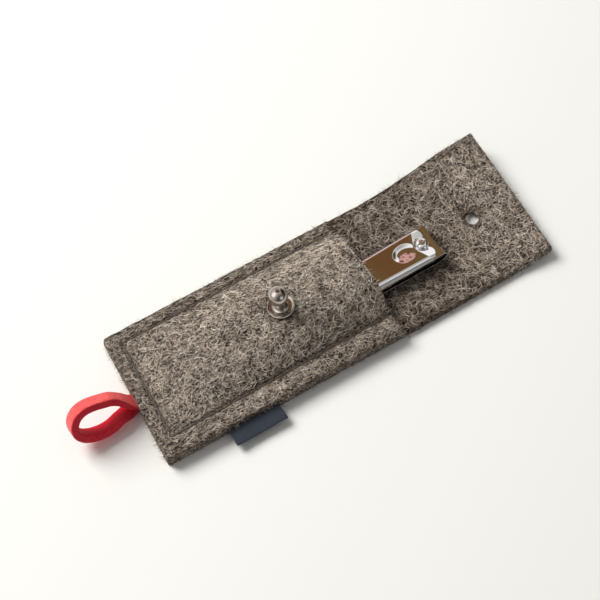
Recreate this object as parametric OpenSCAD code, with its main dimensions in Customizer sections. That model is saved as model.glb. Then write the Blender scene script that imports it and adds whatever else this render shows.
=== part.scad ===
// Felt manicure case with a sewn pocket, a button-stud flap, a leather hanging loop and a lever nail clipper.
// Millimetres. +X runs from the pocket's mouth towards the flap's end, +Z up. The underside is at z = 0.

/* [Felt] */
// Thickness of the wool felt
felt_t = 3; // [2.6:0.1:3.4]
// Width of the strip that makes the back and the flap
strip_w = 55; // [53:0.5:60]
// Length of the strip from the pocket's mouth to its sewn end
pocket_len = 94.2; // [92:0.2:105]
// Length of the strip from the pocket's mouth to the flap's end
flap_len = 67; // [64:0.5:72]
// How much the sewn end slants across the width
sewn_end_slant = 3; // [0:0.2:3.4]
// How much the flap's end slants across the width
flap_end_slant = 2.5; // [0:0.1:3]
// Radius of the felt's corners
felt_corner_r = 2; // [0.8:0.1:3]
// How much the pocket half narrows on its near side, down to the sewn end
near_taper = 1.2; // [0:0.1:1.6]
// How far the front panel stops short of the strip's far edge
panel_short = 1.3; // [0.4:0.1:2]

/* [Pocket] */
// Distance of the far seam from the panel's far edge
far_seam_inset = 4.8; // [4:0.1:6]
// Distance of the near seam from the near edge
near_seam_inset = 8.3; // [7:0.1:9]
// Distance of the end seam from the sewn end
end_seam_inset = 5.3; // [4.5:0.1:6.5]
// Depth to which a seam pulls the felt in
seam_depth = 0.9; // [0.6:0.1:1.2]
// Room between the pocket's ceiling and the highest part that slides under it
pocket_ease = 1.9; // [1.7:0.1:2.6]
// Place of the pocket's crest across the width
crest_y = -1; // [-2:0.5:0]

/* [Thread] */
// Thickness of the sewing thread
thread_d = 0.7; // [0.5:0.05:0.8]
// Length of felt that each stitch takes
stitch_pitch = 3.4; // [3:0.1:4.5]
// Share of the pitch that a stitch shows
stitch_share = 0.72; // [0.6:0.02:0.8]
// Distance of the flap's stitching from its edges
flap_seam_inset = 5.6; // [5:0.1:7]

/* [Stud] */
// Diameter of the stud's ball
ball_d = 7; // [6:0.1:7.6]
// Diameter of the stud's flange
flange_d = 10; // [9:0.1:11]
// Diameter of the stud's neck at its waist
neck_d = 3.6; // [3:0.1:4]
// Distance from the pocket's mouth back to the stud
stud_back = 34.6; // [30:0.2:38]
// Distance of the stud and the flap's hole from the strip's middle
stud_y = -0.3; // [-1:0.1:1]
// Lean of the stud towards the sewn end
stud_lean_x = 7; // [0:0.5:8]
// Lean of the stud towards the far edge
stud_lean_y = 5; // [0:0.5:6]
// Thickness to which the stud and its screw clamp the felt
clamp_t = 1.8; // [1.5:0.1:2]
// Height of the flange's seat under the closed flap
seat_drop = 2.8; // [2.5:0.1:3.2]
// How far the closed flap's felt reaches up round the ball
ball_sink = 1.75; // [1:0.05:2]
// Diameter of the screw's head
screw_head_d = 7; // [6:0.1:7.4]

/* [Flap] */
// Diameter of the hole that buttons over the stud
hole_d = 4.9; // [4.4:0.1:5.2]
// Radius of the felt round the hole that gives way over the ball
hole_give_r = 7; // [6.8:0.1:8]
// Room between the closed flap and the pocket's crest
flap_room = 1.4; // [1.2:0.1:2]
// Distance from the pocket's mouth out to the fold's middle line
fold_out = 7; // [5.5:0.25:8]

/* [Hanging loop] */
// Width of the leather band
loop_w = 6; // [5:0.25:7]
// Thickness of the leather band
loop_t = 2.9; // [2.4:0.1:3]
// Thickness of the band where it is sewn in
loop_tail_t = 1.4; // [1:0.1:1.5]
// Reach of the loop from the sewn end
loop_reach = 25; // [22:0.5:28]
// Half the loop's height at its widest, along the band's middle line
loop_half = 6; // [5:0.1:6.2]
// Place of the loop across the width
loop_y = -0.4; // [-4:0.1:4]
// Lean of the loop towards the far side
loop_lean = 31; // [24:1:34]
// Rise of the loop's middle line above the felt at its tip
loop_rise = 6.7; // [6.2:0.1:7.4]

/* [Side label] */
// Length of the woven label along the edge
label_len = 20.2; // [16:0.2:24]
// Reach of the label beyond the felt
label_reach = 6.4; // [5:0.1:8]
// Thickness of the folded label
label_t = 0.9; // [0.7:0.1:1.2]
// Distance from the pocket's mouth back to the label's near end
label_back = 52.3; // [48:0.5:60]

/* [Clipper] */
// Overall length of the clipper
clip_len = 77.5; // [74:0.5:80]
// Width of the clipper's leaves
clip_w = 14.1; // [13:0.1:14.6]
// Thickness of a leaf
leaf_t = 1.4; // [1.2:0.05:1.6]
// Reach of the jaws out of the pocket's mouth
clip_out = 30.5; // [28:0.5:31]
// Travel of the clipper into the pocket
clip_push = 20.5; // [18:0.5:20.5]
// Place of the clipper across the pocket
clip_y = -3.25; // [-4:0.25:-2]
// Opening between the cutting edges
jaw_gap = 1.6; // [1.2:0.1:2]
// Height of the lower cutting edge above the clipper's underside
edge_h = 3.9; // [3.6:0.1:4.2]
// Depth of the curve in the cutting edges
edge_sag = 1.3; // [0.8:0.1:1.8]
// Distance from the jaws back to the pin
pin_back = 6.9; // [6.5:0.1:8]
// Diameter of the pin's shaft
pin_d = 3; // [2.6:0.1:3.2]
// Diameter of the pin's head
pin_head_d = 4.7; // [4.4:0.1:5]
// Distance from the rear end forward to the rivet
rivet_in = 5; // [4.5:0.25:7]
// Length of the lever from its ears to its tail
lever_len = 60.5; // [56:0.5:62]
// Width of the lever at its ears
lever_w = 13.2; // [12.4:0.1:13.4]
// Width of the lever at its tail
lever_tail_w = 10.6; // [9:0.2:12]
// Height of the lever's channel
lever_h = 2; // [1.8:0.1:2.2]
// Thickness of the lever's sheet
lever_sheet = 1; // [0.9:0.05:1.1]

/* [Hidden] */
$fn = 48;

felt_color = [0.42, 0.38, 0.34];
thread_color = [0.2, 0.17, 0.15];
leather_color = [0.75, 0.06, 0.09];
label_color = [0.17, 0.18, 0.21];
gunmetal_color = [0.36, 0.35, 0.34];
chrome_color = [0.8, 0.8, 0.8];

touch = 0.05;
sliding_gap = 0.3;
far_y = strip_w / 2;
near_y = -strip_w / 2;
panel_far_y = far_y - panel_short;
far_seam_y = panel_far_y - far_seam_inset;
near_seam_y = near_y + near_seam_inset;

// Clipper heights, from its own underside
clip_z = felt_t + sliding_gap;
clip_rear_x = clip_out - clip_len;
rivet_x = clip_rear_x + rivet_in;
pin_x = clip_out - pin_back;
upper_edge_h = edge_h + jaw_gap;
upper_tip_x = clip_out - 0.6;
upper_floor_rear = leaf_t + touch;
upper_floor_front = upper_edge_h - 1.05;
leaf_slope = (upper_floor_front - upper_floor_rear) / (upper_tip_x - 1.4 - rivet_x);
leaf_pitch = atan(leaf_slope);
lever_ear_x = clip_out - 3.9;
lever_tail_x = lever_ear_x - lever_len;
jaw_travel = atan((jaw_gap - 0.12) / (upper_tip_x - rivet_x));

function upper_floor(x) = upper_floor_rear + max(0, x - rivet_x) * leaf_slope;
function lever_top(x) = clip_z + upper_floor(x) + leaf_t + touch + lever_h;

// Pocket and closed flap: the fold's line lies midway between the hole and the stud
bulge_h = lever_top(clip_push) - felt_t + pocket_ease;
crest_z = 2 * felt_t + bulge_h;
closed_z = crest_z + flap_room;
fold_z = (closed_z + felt_t) / 2;
fold_x = fold_out;
seat_z = closed_z - seat_drop;
lean = [-tan(stud_lean_x), tan(stud_lean_y), 1];
stud_at_flap = stud_back + tan(stud_lean_x) * (closed_z + felt_t / 2 - seat_z);
hole_x = 2 * fold_x + stud_at_flap;
hole_y = stud_y + tan(stud_lean_y) * (closed_z + felt_t / 2 - seat_z);
bend_start = 2;
bend_end = clip_out + 1;
recess_t = 0.06;

// A point on the slanted ends, at height y across the strip
function sewn_x(y) = -pocket_len + sewn_end_slant * y / strip_w;
function near_edge(x) = near_y - near_taper * min(0, x) / pocket_len;
sewn_near_y = near_y + near_taper;
function flap_end_x(y) = flap_len + flap_end_slant * y / strip_w;
function mouth_x(y) = 0.3 + 0.03 * y;

function arc(p, from, to, r, steps = 5) =
    [for (i = [0:steps]) let (a = from + (to - from) * i / steps) p + r * [cos(a), sin(a)]];

// Outline of a rounded rectangle lying along X
function pill(x0, x1, half_w, r) = concat(
    arc([x1 - r, half_w - r], 90, 0, r), arc([x1 - r, r - half_w], 0, -90, r),
    arc([x0 + r, r - half_w], -90, -180, r), arc([x0 + r, half_w - r], 180, 90, r));

// Outline of the pocket half, from its sewn end to x = front
function pocket_outline(front, far) =
    let (r = felt_corner_r)
    concat([[front, far], [front, near_y], [0, near_y]],
           arc([sewn_x(sewn_near_y) + r, sewn_near_y + r], -90, -180, r),
           arc([sewn_x(far) + r, far - r], 180, 90, r));

module sheet(outline) {
    linear_extrude(felt_t) polygon(outline);
}

module groove_line(from, to, z, depth) {
    run = to - from;
    translate([from[0], from[1], z])
        rotate([0, 0, atan2(run[1], run[0])])
            translate([0, -thread_d * 0.7, 0]) cube([norm(run), thread_d * 1.4, depth]);
}

// Stitches along a line: round thread that dips at both ends of each stitch
module stitches(from, to, z) {
    run = to - from;
    count = floor(norm(run) / stitch_pitch);
    step = norm(run) / count;
    translate([from[0], from[1], z])
        rotate([0, 0, atan2(run[1], run[0])])
            for (i = [0:count - 1])
                translate([(i + (1 - stitch_share) / 2) * step, 0, 0])
                    rotate([0, 90, 0]) cylinder(d = thread_d, h = step * stitch_share, $fn = 16);
}

function sewn_corner(y) = [sewn_x(y) + end_seam_inset, y];
function flap_corner(y) = [flap_end_x(y) - flap_seam_inset, y];
flap_far_y = far_y - flap_seam_inset;
flap_near_y = near_y + flap_seam_inset;
seam_start = mouth_x(0) - 1.5;
under_depth = thread_d + 0.1;

module pocket_lines(part) {
    far_line = [sewn_corner(far_seam_y), [seam_start, far_seam_y]];
    near_line = [sewn_corner(near_seam_y), [seam_start, near_seam_y]];
    end_line = [sewn_corner(near_seam_y) + [0, 1.6], sewn_corner(far_seam_y) - [0, 1.6]];
    for (line = [far_line, near_line, end_line]) {
        if (part == "top") stitches(line[0], line[1], 2 * felt_t - seam_depth + thread_d / 2 + touch);
        if (part == "under") stitches(line[0], line[1], under_depth - thread_d / 2 - touch);
        from = line[0] - [0.1, 0];
        to = line[1] + [0.1, 0];
        if (part == "under_groove") groove_line(from, to, -1, 1 + under_depth);
        if (part == "top_groove") groove_line(from, to, 2 * felt_t - seam_depth, 2);
    }
}

module flap_lines(part, x0, x1) {
    far_line = [[x0, flap_far_y], [min(x1, flap_corner(flap_far_y)[0]), flap_far_y]];
    near_line = [[x0, flap_near_y], [min(x1, flap_corner(flap_near_y)[0]), flap_near_y]];
    end_line = [flap_corner(flap_near_y) + [0, 1.6], flap_corner(flap_far_y) - [0, 1.6]];
    lines = x1 > end_line[0][0] ? [far_line, near_line, end_line] : [far_line, near_line];
    for (line = lines) {
        if (part == "top") stitches(line[0], line[1], felt_t - under_depth + thread_d / 2 + touch);
        if (part == "under") stitches(line[0], line[1], under_depth - thread_d / 2 - touch);
        if (part == "grooves") {
            groove_line(line[0] - [0.1, 0], line[1] + [0.1, 0], -1, 1 + under_depth);
            groove_line(line[0] - [0.1, 0], line[1] + [0.1, 0], felt_t - under_depth, 1);
        }
    }
}

module back_panel() {
    color(felt_color) difference() {
        sheet(pocket_outline(bend_start, far_y));
        pocket_lines("under_groove");
        loop_tab_space();
        label_space();
    }
}

module flap_bend() {
    color(felt_color) difference() {
        sheet([[bend_start, near_y], [bend_end, near_y], [bend_end, far_y], [bend_start, far_y]]);
        flap_lines("grooves", bend_start + 1, bend_end - 0.4);
    }
}

module flap_felt() {
    r = felt_corner_r;
    sheet(concat(
        [[bend_end, near_y], [bend_end, far_y]],
        arc([flap_end_x(far_y) - r, far_y - r], 90, 0, r),
        arc([flap_end_x(near_y) - r, near_y + r], 0, -90, r)));
}

module flap() {
    color(felt_color) difference() {
        flap_felt();
        translate([hole_x, hole_y, -1]) cylinder(r = hole_give_r, h = felt_t + 2);
        flap_lines("grooves", bend_end + 0.4, flap_len + 5);
    }
}

module button_hole_felt() {
    color(felt_color) translate([hole_x, hole_y, 0]) difference() {
        cylinder(r = hole_give_r, h = felt_t);
        translate([0, 0, -1]) cylinder(d = hole_d, h = felt_t + 2);
    }
}

// Height of the pocket's bulge at a share q of its length from the mouth, at y across it
function bulge(q, y, y0, y1) =
    let (t = y > crest_y ? (y - crest_y) / (y1 - crest_y) : (crest_y - y) / (crest_y - y0))
    q >= 1 || t >= 1 ? 0 : bulge_h * pow(1 - pow(max(q, 0), 2.4), 0.9) * pow(1 - pow(t, 2.5), 1.3);

inner_inset = 1.2;
function seam_share(x, y, inset) =
    (mouth_x(y) - x) / (mouth_x(y) - sewn_x(y) - end_seam_inset - inset);
function dip(d) = seam_depth * exp(-pow(d / 0.75, 2));
function panel_top(x, y) =
    2 * felt_t + bulge(seam_share(x, y, 0), y, near_seam_y, far_seam_y)
    - max(dip(y - far_seam_y) * (x > sewn_corner(y)[0] ? 1 : 0),
          dip(y - near_seam_y) * (x > sewn_corner(y)[0] ? 1 : 0),
          dip(x - sewn_corner(y)[0]) * (y > near_seam_y && y < far_seam_y ? 1 : 0));
function panel_floor(x, y) =
    felt_t + bulge(seam_share(x, y, inner_inset), y, near_seam_y + inner_inset, far_seam_y - inner_inset);

// Stations along the panel: distances from the sewn end, then shares of the rest up to the mouth.
// The skin runs past the felt's edges by the margin, and is then cut to the panel's outline.
margin = 0.5;
end_stations = [-margin, 3, end_seam_inset - 0.9, end_seam_inset, end_seam_inset + 0.9];
run_shares = [0.04, 0.09, 0.15, 0.22, 0.3, 0.38, 0.46, 0.54, 0.62, 0.7, 0.78, 0.86, 0.94, 0.99, 1];
function station_x(i, y) =
    i < len(end_stations) ? sewn_x(y) + end_stations[i]
    : let (x0 = sewn_corner(y)[0] + 0.9)
      x0 + (mouth_x(y) - x0) * run_shares[i - len(end_stations)];
x_count = len(end_stations) + len(run_shares);
near_ys = [near_y - margin, near_y + near_seam_inset / 2,
           near_seam_y - 0.9, near_seam_y, near_seam_y + 0.9];
far_ys = [far_seam_y - 0.9, far_seam_y, far_seam_y + 0.9, panel_far_y + margin];
mid_run = far_seam_y - near_seam_y - 1.8;
mid_ys = [for (i = [1:14]) near_seam_y + 0.9 + mid_run * i / 15];
panel_ys = concat(near_ys, mid_ys, far_ys);

module panel_skin() {
    ny = len(panel_ys);
    top = [for (i = [0:x_count - 1]) for (j = [0:ny - 1])
        let (y = panel_ys[j], x = station_x(i, y)) [x, y, panel_top(x, y)]];
    floor_points = [for (i = [0:x_count - 1]) for (j = [0:ny - 1])
        let (y = panel_ys[j], x = station_x(i, y)) [x, y, panel_floor(x, y)]];
    n = x_count * ny;
    quads = [for (i = [0:x_count - 2]) for (j = [0:ny - 2])
        let (a = i * ny + j) [a, a + ny, a + ny + 1, a + 1]];
    rim = concat(
        [for (i = [0:x_count - 2]) [i * ny, (i + 1) * ny]],
        [for (j = [0:ny - 2]) [(x_count - 1) * ny + j, (x_count - 1) * ny + j + 1]],
        [for (i = [x_count - 1:-1:1]) [i * ny + ny - 1, (i - 1) * ny + ny - 1]],
        [for (j = [ny - 1:-1:1]) [j, j - 1]]);
    faces = concat(
        [for (q = quads) [q[2], q[1], q[0]]], [for (q = quads) [q[3], q[2], q[0]]],
        [for (q = quads) [q[0] + n, q[1] + n, q[2] + n]], [for (q = quads) [q[0] + n, q[2] + n, q[3] + n]],
        [for (e = rim) [e[0], e[1], e[1] + n]], [for (e = rim) [e[0], e[1] + n, e[0] + n]]);
    polyhedron(points = concat(top, floor_points), faces = faces);
}

module pocket_panel() {
    color(felt_color) difference() {
        intersection() {
            panel_skin();
            linear_extrude(60) polygon(pocket_outline(10, panel_far_y));
        }
        on_stud() {
            translate([0, 0, touch]) cylinder(d = flange_d + 0.4, h = 6);
            translate([0, 0, -clamp_t - 8 - touch]) cylinder(d = screw_head_d + 0.6, h = 8);
            translate([0, 0, -6]) cylinder(d = 2.8, h = 12);
        }
        pocket_lines("top_groove");
        loop_tab_space();
        label_space();
    }
}

module needle_thread() {
    color(thread_color) pocket_lines("top");
}

module bobbin_thread() {
    color(thread_color) pocket_lines("under");
}

module flap_needle_thread() {
    color(thread_color) flap_lines("top", bend_end + 0.4, flap_len + 5);
}

module flap_bobbin_thread() {
    color(thread_color) flap_lines("under", bend_end + 0.4, flap_len + 5);
}

module bend_thread() {
    color(thread_color) {
        flap_lines("top", bend_start + 1, bend_end - 0.4);
        flap_lines("under", bend_start + 1, bend_end - 0.4);
    }
}

// Hanging loop: a leather band swept round a drop-shaped line, leaning to the far side
loop_x0 = sewn_x(loop_y);
tail_in = end_seam_inset + 2.5;
function ramp(v) = let (c = min(1, max(0, v))) c * c * (3 - 2 * c);
function loop_along(phi) = loop_reach * (1 + cos(phi)) / 2 - loop_t / 2 * cos(phi / 2);
function loop_up(phi) = loop_half * 1.3 * sin(phi) * cos(phi / 2);
function loop_stack(a) = (loop_tail_t + touch) / 2 * (1 - ramp((a + 0.5) / 8));
function loop_mid_z(a) = felt_t + loop_rise * (0.78 * ramp(a / 9) + 0.22 * ramp((a - 10) / 12));
function loop_mid_y(a) = loop_y - 0.07 * max(0, a) + 0.77 * ramp((a - 8) / 14);
function loop_tilt(a) = loop_lean * ramp(a / 7);
function band_t(a) = loop_tail_t + (loop_t - loop_tail_t) * ramp((a - 0.3) / 4);
function loop_side(phi) = phi >= 0 ? 1 : -1;
// Middle line in the loop's own plane: [distance out of the seam, height in the plane]
function loop_line(phi) =
    let (a = loop_along(phi)) [a, loop_up(phi) + loop_side(phi) * loop_stack(a)];
loop_phis = concat([for (p = [-172:8:-12]) p], [-5, 5], [for (p = [12:8:172]) p]);
loop_points = concat(
    [[-tail_in, -(loop_tail_t + touch) / 2], [-2, -(loop_tail_t + touch) / 2]],
    [for (p = loop_phis) loop_line(p)],
    [[-2, (loop_tail_t + touch) / 2], [-tail_in, (loop_tail_t + touch) / 2]]);
function unit(v) = v / norm(v);
function loop_ring(i) =
    let (
        p = loop_points[i],
        q0 = loop_points[max(0, i - 1)],
        q1 = loop_points[min(len(loop_points) - 1, i + 1)],
        run = unit(q1 - q0),
        out = [run[1], -run[0]],
        t = band_t(p[0]) / 2,
        w = loop_w / 2,
        r = 0.35,
        tilt = loop_tilt(p[0]),
        section = [[w, t - r], [w - r, t], [r - w, t], [-w, t - r],
                   [-w, r - t], [r - w, -t], [w - r, -t], [w, r - t]]
    )
    [for (s = section)
        let (a = p[0] + out[0] * s[1], b = p[1] + out[1] * s[1])
        [loop_x0 - a,
         loop_mid_y(p[0]) + b * sin(tilt) + s[0] * cos(tilt),
         loop_mid_z(p[0]) + b * cos(tilt) - s[0] * sin(tilt)]];

module hanging_loop() {
    rings = len(loop_points);
    points = [for (i = [0:rings - 1]) each loop_ring(i)];
    sides = [for (i = [0:rings - 2]) for (j = [0:7])
        let (a = i * 8 + j, b = i * 8 + (j + 1) % 8) each [[a, b, b + 8], [a, b + 8, a + 8]]];
    cap0 = [for (j = [1:6]) [0, j + 1, j]];
    cap1 = [for (j = [1:6]) let (k = (rings - 1) * 8) [k, k + j, k + j + 1]];
    color(leather_color) polyhedron(points = points, faces = concat(sides, cap0, cap1));
}

module loop_tab_space() {
    tab = loop_tail_t + touch / 2 + recess_t;
    translate([loop_x0 - 4, loop_y - loop_w / 2 - 0.2, felt_t - tab])
        cube([4 + tail_in + 0.2, loop_w + 0.4, 2 * tab]);
}

// Woven label folded double and sewn into the near seam
label_edge_y = near_edge(-label_back - label_len / 2);
label_inner = near_seam_inset - near_taper - 1.6;
module side_label() {
    half = label_t / 2;
    color(label_color)
        translate([-label_back - label_len, label_edge_y - label_reach, felt_t])
            rotate([90, 0, 90])
                linear_extrude(label_len)
                    polygon(concat(arc([half, 0], 90, 270, half, 8),
                                   [[label_reach + label_inner, -half], [label_reach + label_inner, half]]));
}

module label_space() {
    half = label_t / 2 + recess_t;
    translate([-label_back - label_len - 0.2, label_edge_y - 3, felt_t - half])
        cube([label_len + 0.4, label_inner + 3.2, 2 * half]);
}

// Puts its children on the stud's leaning axis, with the flange's seat at z = 0
module on_stud() {
    axis = lean / norm(lean);
    translate([-stud_back, stud_y, seat_z])
        rotate([0, acos(axis[2]), atan2(axis[1], axis[0])])
            children();
}

neck_r = neck_d / 2;
ball_r = ball_d / 2;
flange_r = flange_d / 2;
ball_z = seat_drop + felt_t + ball_r - ball_sink;
ball_join = asin(neck_r / ball_r);

module ball_stud() {
    profile = concat(
        [[0, 2 * touch], [flange_r - 0.4, 2 * touch], [flange_r, 0.35], [flange_r, 0.75],
         [flange_r - 0.3, 0.95], [flange_r - 0.75, 0.85], [flange_r - 1.1, 0.6], [neck_r + 0.9, 0.95],
         [neck_r + 0.35, 1.5], [neck_r, 2.5]],
        [for (i = [0:14]) let (a = -90 + ball_join + (180 - ball_join) * i / 14)
            [ball_r * cos(a), ball_z + ball_r * sin(a)]]);
    color(gunmetal_color) on_stud() difference() {
        rotate_extrude($fn = 64) polygon(profile);
        translate([0, 0, -1]) cylinder(d = 2.5, h = 4.2);
    }
}

module stud_screw() {
    head_t = 0.9;
    color(gunmetal_color) on_stud() difference() {
        union() {
            translate([0, 0, -clamp_t - 2 * touch - head_t]) cylinder(d = screw_head_d, h = head_t);
            translate([0, 0, -clamp_t - 2 * touch]) cylinder(d = 2.4, h = clamp_t + 3);
        }
        translate([-screw_head_d, -0.5, -clamp_t - 2 * touch - head_t - 1]) cube([2 * screw_head_d, 1, 1.4]);
    }
}

// Clipper: the leaves are bent strips, drawn in side view and cut out in plan
module leaf(side_view, tip_x) {
    bow_r = (pow(clip_w / 2, 2) + pow(edge_sag, 2)) / (2 * edge_sag);
    translate([0, clip_y, clip_z]) intersection() {
        translate([0, clip_w / 2, 0]) rotate([90, 0, 0]) linear_extrude(clip_w) polygon(side_view);
        linear_extrude(20) polygon(pill(clip_rear_x, clip_out + 20, clip_w / 2, 4));
        difference() {
            translate([clip_rear_x - 1, -clip_w, -1]) cube([clip_len + 2, 2 * clip_w, 22]);
            translate([tip_x - edge_sag + bow_r, 0, -2]) cylinder(r = bow_r, h = 24, $fn = 96);
        }
    }
}

module on_pin() {
    translate([pin_x, clip_y, clip_z]) children();
}

module on_rivet() {
    translate([rivet_x, clip_y, clip_z]) children();
}

module clipper_lower_leaf() {
    tip = clip_out;
    color(chrome_color) difference() {
        leaf([[clip_rear_x, 0], [tip - 4, 0], [tip - 2.2, 0.45], [tip - 0.8, 1.5], [tip - 0.15, 2.8],
              [tip, edge_h], [tip - 0.9, edge_h - 0.7], [tip - 1.7, 2.3], [tip - 3, 1.65],
              [tip - 4.8, leaf_t], [clip_rear_x, leaf_t]], tip);
        on_pin() {
            translate([0, 0, -1]) cylinder(d = pin_d + 0.2, h = 4);
            translate([0, 0, -1]) cylinder(d = 5.5, h = 1.75);
        }
        on_rivet() {
            translate([0, 0, -1]) cylinder(d = 2.6, h = 4);
            translate([0, 0, -1]) cylinder(d = 4.6, h = 1.5);
        }
    }
}

module clipper_upper_leaf() {
    tip = upper_tip_x;
    front = tip - 3.4;
    floor_front = upper_floor(front);
    color(chrome_color) difference() {
        leaf([[clip_rear_x, upper_floor_rear], [rivet_x, upper_floor_rear], [front, floor_front],
              [tip - 1.5, upper_edge_h - 0.6], [tip, upper_edge_h], [tip - 0.9, upper_edge_h + 0.5],
              [tip - 2.2, upper_edge_h + 0.62], [front, floor_front + leaf_t],
              [rivet_x, upper_floor_rear + leaf_t], [clip_rear_x, upper_floor_rear + leaf_t]], tip);
        on_pin() cylinder(d = pin_d + 0.8, h = 12);
        on_rivet() cylinder(d = 2.6, h = 12);
    }
}

// The pin's head bears on a shelf pressed down in the lever's fork
shelf_floor = 0.35;
shelf_t = 0.9;
lever_slot = 2.9;
head_z = upper_floor(pin_x) + leaf_t + touch + shelf_floor + shelf_t + touch;

module clipper_pin() {
    waist_r = pin_d / 2 - 0.25;
    head_r = pin_head_d / 2;
    shaft_top = upper_floor(pin_x) + leaf_t + 0.1;
    color(chrome_color) on_pin() difference() {
        rotate_extrude() polygon([[0, 0.05], [2.4, 0.05], [2.55, 0.2], [2.55, 0.7], [pin_d / 2, 0.7],
            [pin_d / 2, shaft_top], [waist_r, shaft_top + 0.2], [waist_r, head_z], [head_r - 0.1, head_z],
            [head_r, head_z + 0.15], [head_r, head_z + 0.7], [head_r - 0.35, head_z + 1.15],
            [head_r - 1.1, head_z + 1.45], [0, head_z + 1.55]]);
        translate([-head_r - 1, -0.35, head_z + 1.05]) cube([2 * head_r + 2, 0.7, 2]);
    }
}

module clipper_rivet() {
    top = upper_floor_rear + leaf_t + 0.1;
    color(chrome_color) on_rivet()
        rotate_extrude() polygon([[0, 0.05], [2.1, 0.05], [2.1, 0.45], [1.2, 0.45], [1.2, top],
            [2.2, top], [2.2, top + 0.15], [1.7, top + 0.45], [0, top + 0.6]]);
}

// The lever lies in its own frame, tipped with the upper leaf: x from the pin, z from the leaf's top
module lever_channel(rear, front) {
    half = lever_w / 2;
    bend_r = 1.5;
    section = concat(
        [[-half, 0]], arc([bend_r - half, lever_h - bend_r], 180, 90, bend_r, 6),
        arc([half - bend_r, lever_h - bend_r], 90, 0, bend_r, 6),
        [[half, 0], [half - lever_sheet, 0], [half - lever_sheet, lever_h - lever_sheet],
         [lever_sheet - half, lever_h - lever_sheet], [lever_sheet - half, 0]]);
    translate([rear - 1, 0, 0]) rotate([90, 0, 90]) linear_extrude(front - rear + 2) polygon(section);
}

module lever_plan(rear, front) {
    half = lever_w / 2;
    tail = lever_tail_w / 2;
    ear_r = (half - lever_slot / 2 + 0.15) / 2;
    polygon(concat(
        [[rear + 4, -tail], [rear + 1, 1 - tail], [rear, 3 - tail],
         [rear, tail - 3], [rear + 1, tail - 1], [rear + 4, tail]],
        arc([front - ear_r, half - ear_r], 90, -90, ear_r, 12),
        arc([front - ear_r, ear_r - half], 90, -90, ear_r, 12)));
}

module clipper_lever() {
    rear = lever_tail_x - pin_x;
    front = lever_ear_x - pin_x;
    color(chrome_color)
        translate([pin_x, clip_y, clip_z + upper_floor(pin_x) + leaf_t + touch])
            rotate([0, -leaf_pitch, 0]) difference() {
                intersection() {
                    union() {
                        lever_channel(rear, front);
                        translate([0, 0, shelf_floor]) cylinder(r = lever_w / 2 - 0.6, h = shelf_t);
                    }
                    linear_extrude(6) lever_plan(rear, front);
                }
                translate([0, -lever_slot / 2, -1]) cube([front + 2, lever_slot, 4]);
                translate([0, 0, -1]) cylinder(d = lever_slot, h = 4);
                translate([0, 0, shelf_floor + shelf_t]) cylinder(d = pin_head_d + 0.7, h = 4);
                dimple();
            }
}

// Long oval dimple behind the pin: a round-nosed tool pressed along the lever
module dimple() {
    tool_r = 4.5;
    depth = 0.55;
    rear = -9.3;
    front = -5.9;
    translate([rear, 0, lever_h - depth + tool_r]) {
        sphere(r = tool_r);
        rotate([0, 90, 0]) cylinder(r = tool_r, h = front - rear);
        translate([front - rear, 0, 0]) sphere(r = tool_r);
    }
}

echo(fold = [fold_x, fold_z], hole = [hole_x, hole_y], jaw_travel = jaw_travel,
     rivet = [rivet_x, clip_z + upper_floor_rear], crest_z = crest_z, closed_z = closed_z, seat_z = seat_z);

back_panel();
flap_bend();
flap();
button_hole_felt();
pocket_panel();
needle_thread();
bobbin_thread();
flap_needle_thread();
flap_bobbin_thread();
bend_thread();
hanging_loop();
side_label();
ball_stud();
stud_screw();
clipper_lower_leaf();
clipper_upper_leaf();
clipper_pin();
clipper_lever();
clipper_rivet();
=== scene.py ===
import math
import random

import bmesh
import bpy
import numpy as np
from mathutils import Matrix, Vector, noise


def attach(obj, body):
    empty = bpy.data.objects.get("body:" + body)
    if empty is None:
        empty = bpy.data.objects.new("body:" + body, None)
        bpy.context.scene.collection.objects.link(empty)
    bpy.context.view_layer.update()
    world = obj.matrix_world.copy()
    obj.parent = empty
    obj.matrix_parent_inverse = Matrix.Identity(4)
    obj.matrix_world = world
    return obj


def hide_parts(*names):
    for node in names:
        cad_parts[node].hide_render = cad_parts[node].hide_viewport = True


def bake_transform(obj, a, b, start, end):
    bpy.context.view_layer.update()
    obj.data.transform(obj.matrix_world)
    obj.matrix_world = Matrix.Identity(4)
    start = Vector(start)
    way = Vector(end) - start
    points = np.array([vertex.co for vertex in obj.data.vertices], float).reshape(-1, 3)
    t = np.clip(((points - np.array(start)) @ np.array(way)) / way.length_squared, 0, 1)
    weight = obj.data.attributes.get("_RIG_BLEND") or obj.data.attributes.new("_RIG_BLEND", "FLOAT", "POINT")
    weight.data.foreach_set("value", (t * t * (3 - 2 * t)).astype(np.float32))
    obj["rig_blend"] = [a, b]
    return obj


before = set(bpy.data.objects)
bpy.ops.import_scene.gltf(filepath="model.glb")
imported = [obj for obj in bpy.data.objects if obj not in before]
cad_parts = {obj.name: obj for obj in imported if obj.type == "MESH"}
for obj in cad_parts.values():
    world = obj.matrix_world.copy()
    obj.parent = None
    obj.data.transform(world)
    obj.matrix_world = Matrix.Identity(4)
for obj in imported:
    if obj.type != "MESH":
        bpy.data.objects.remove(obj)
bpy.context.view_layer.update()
MM = 0.001
bpy.context.scene.view_settings.view_transform = "Standard"


# Camera
# The case lies on a table, seen from above and from its near left corner, through a long lens.
VIEW_AIM = Vector((-23.3, 5.6, 0.0)) * MM
VIEW_DISTANCE = 498.6 * MM
VIEW_AZIMUTH = math.radians(31.42)
VIEW_ELEVATION = math.radians(60.44)
VIEW_ROLL = math.radians(-0.56)
FOCAL_LENGTH = 82.08
SENSOR_WIDTH = 36.0
NEAREST_SEEN = 10 * MM


def put_in_scene(name, data):
    thing = bpy.data.objects.new(name, data)
    bpy.context.scene.collection.objects.link(thing)
    return thing


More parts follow.
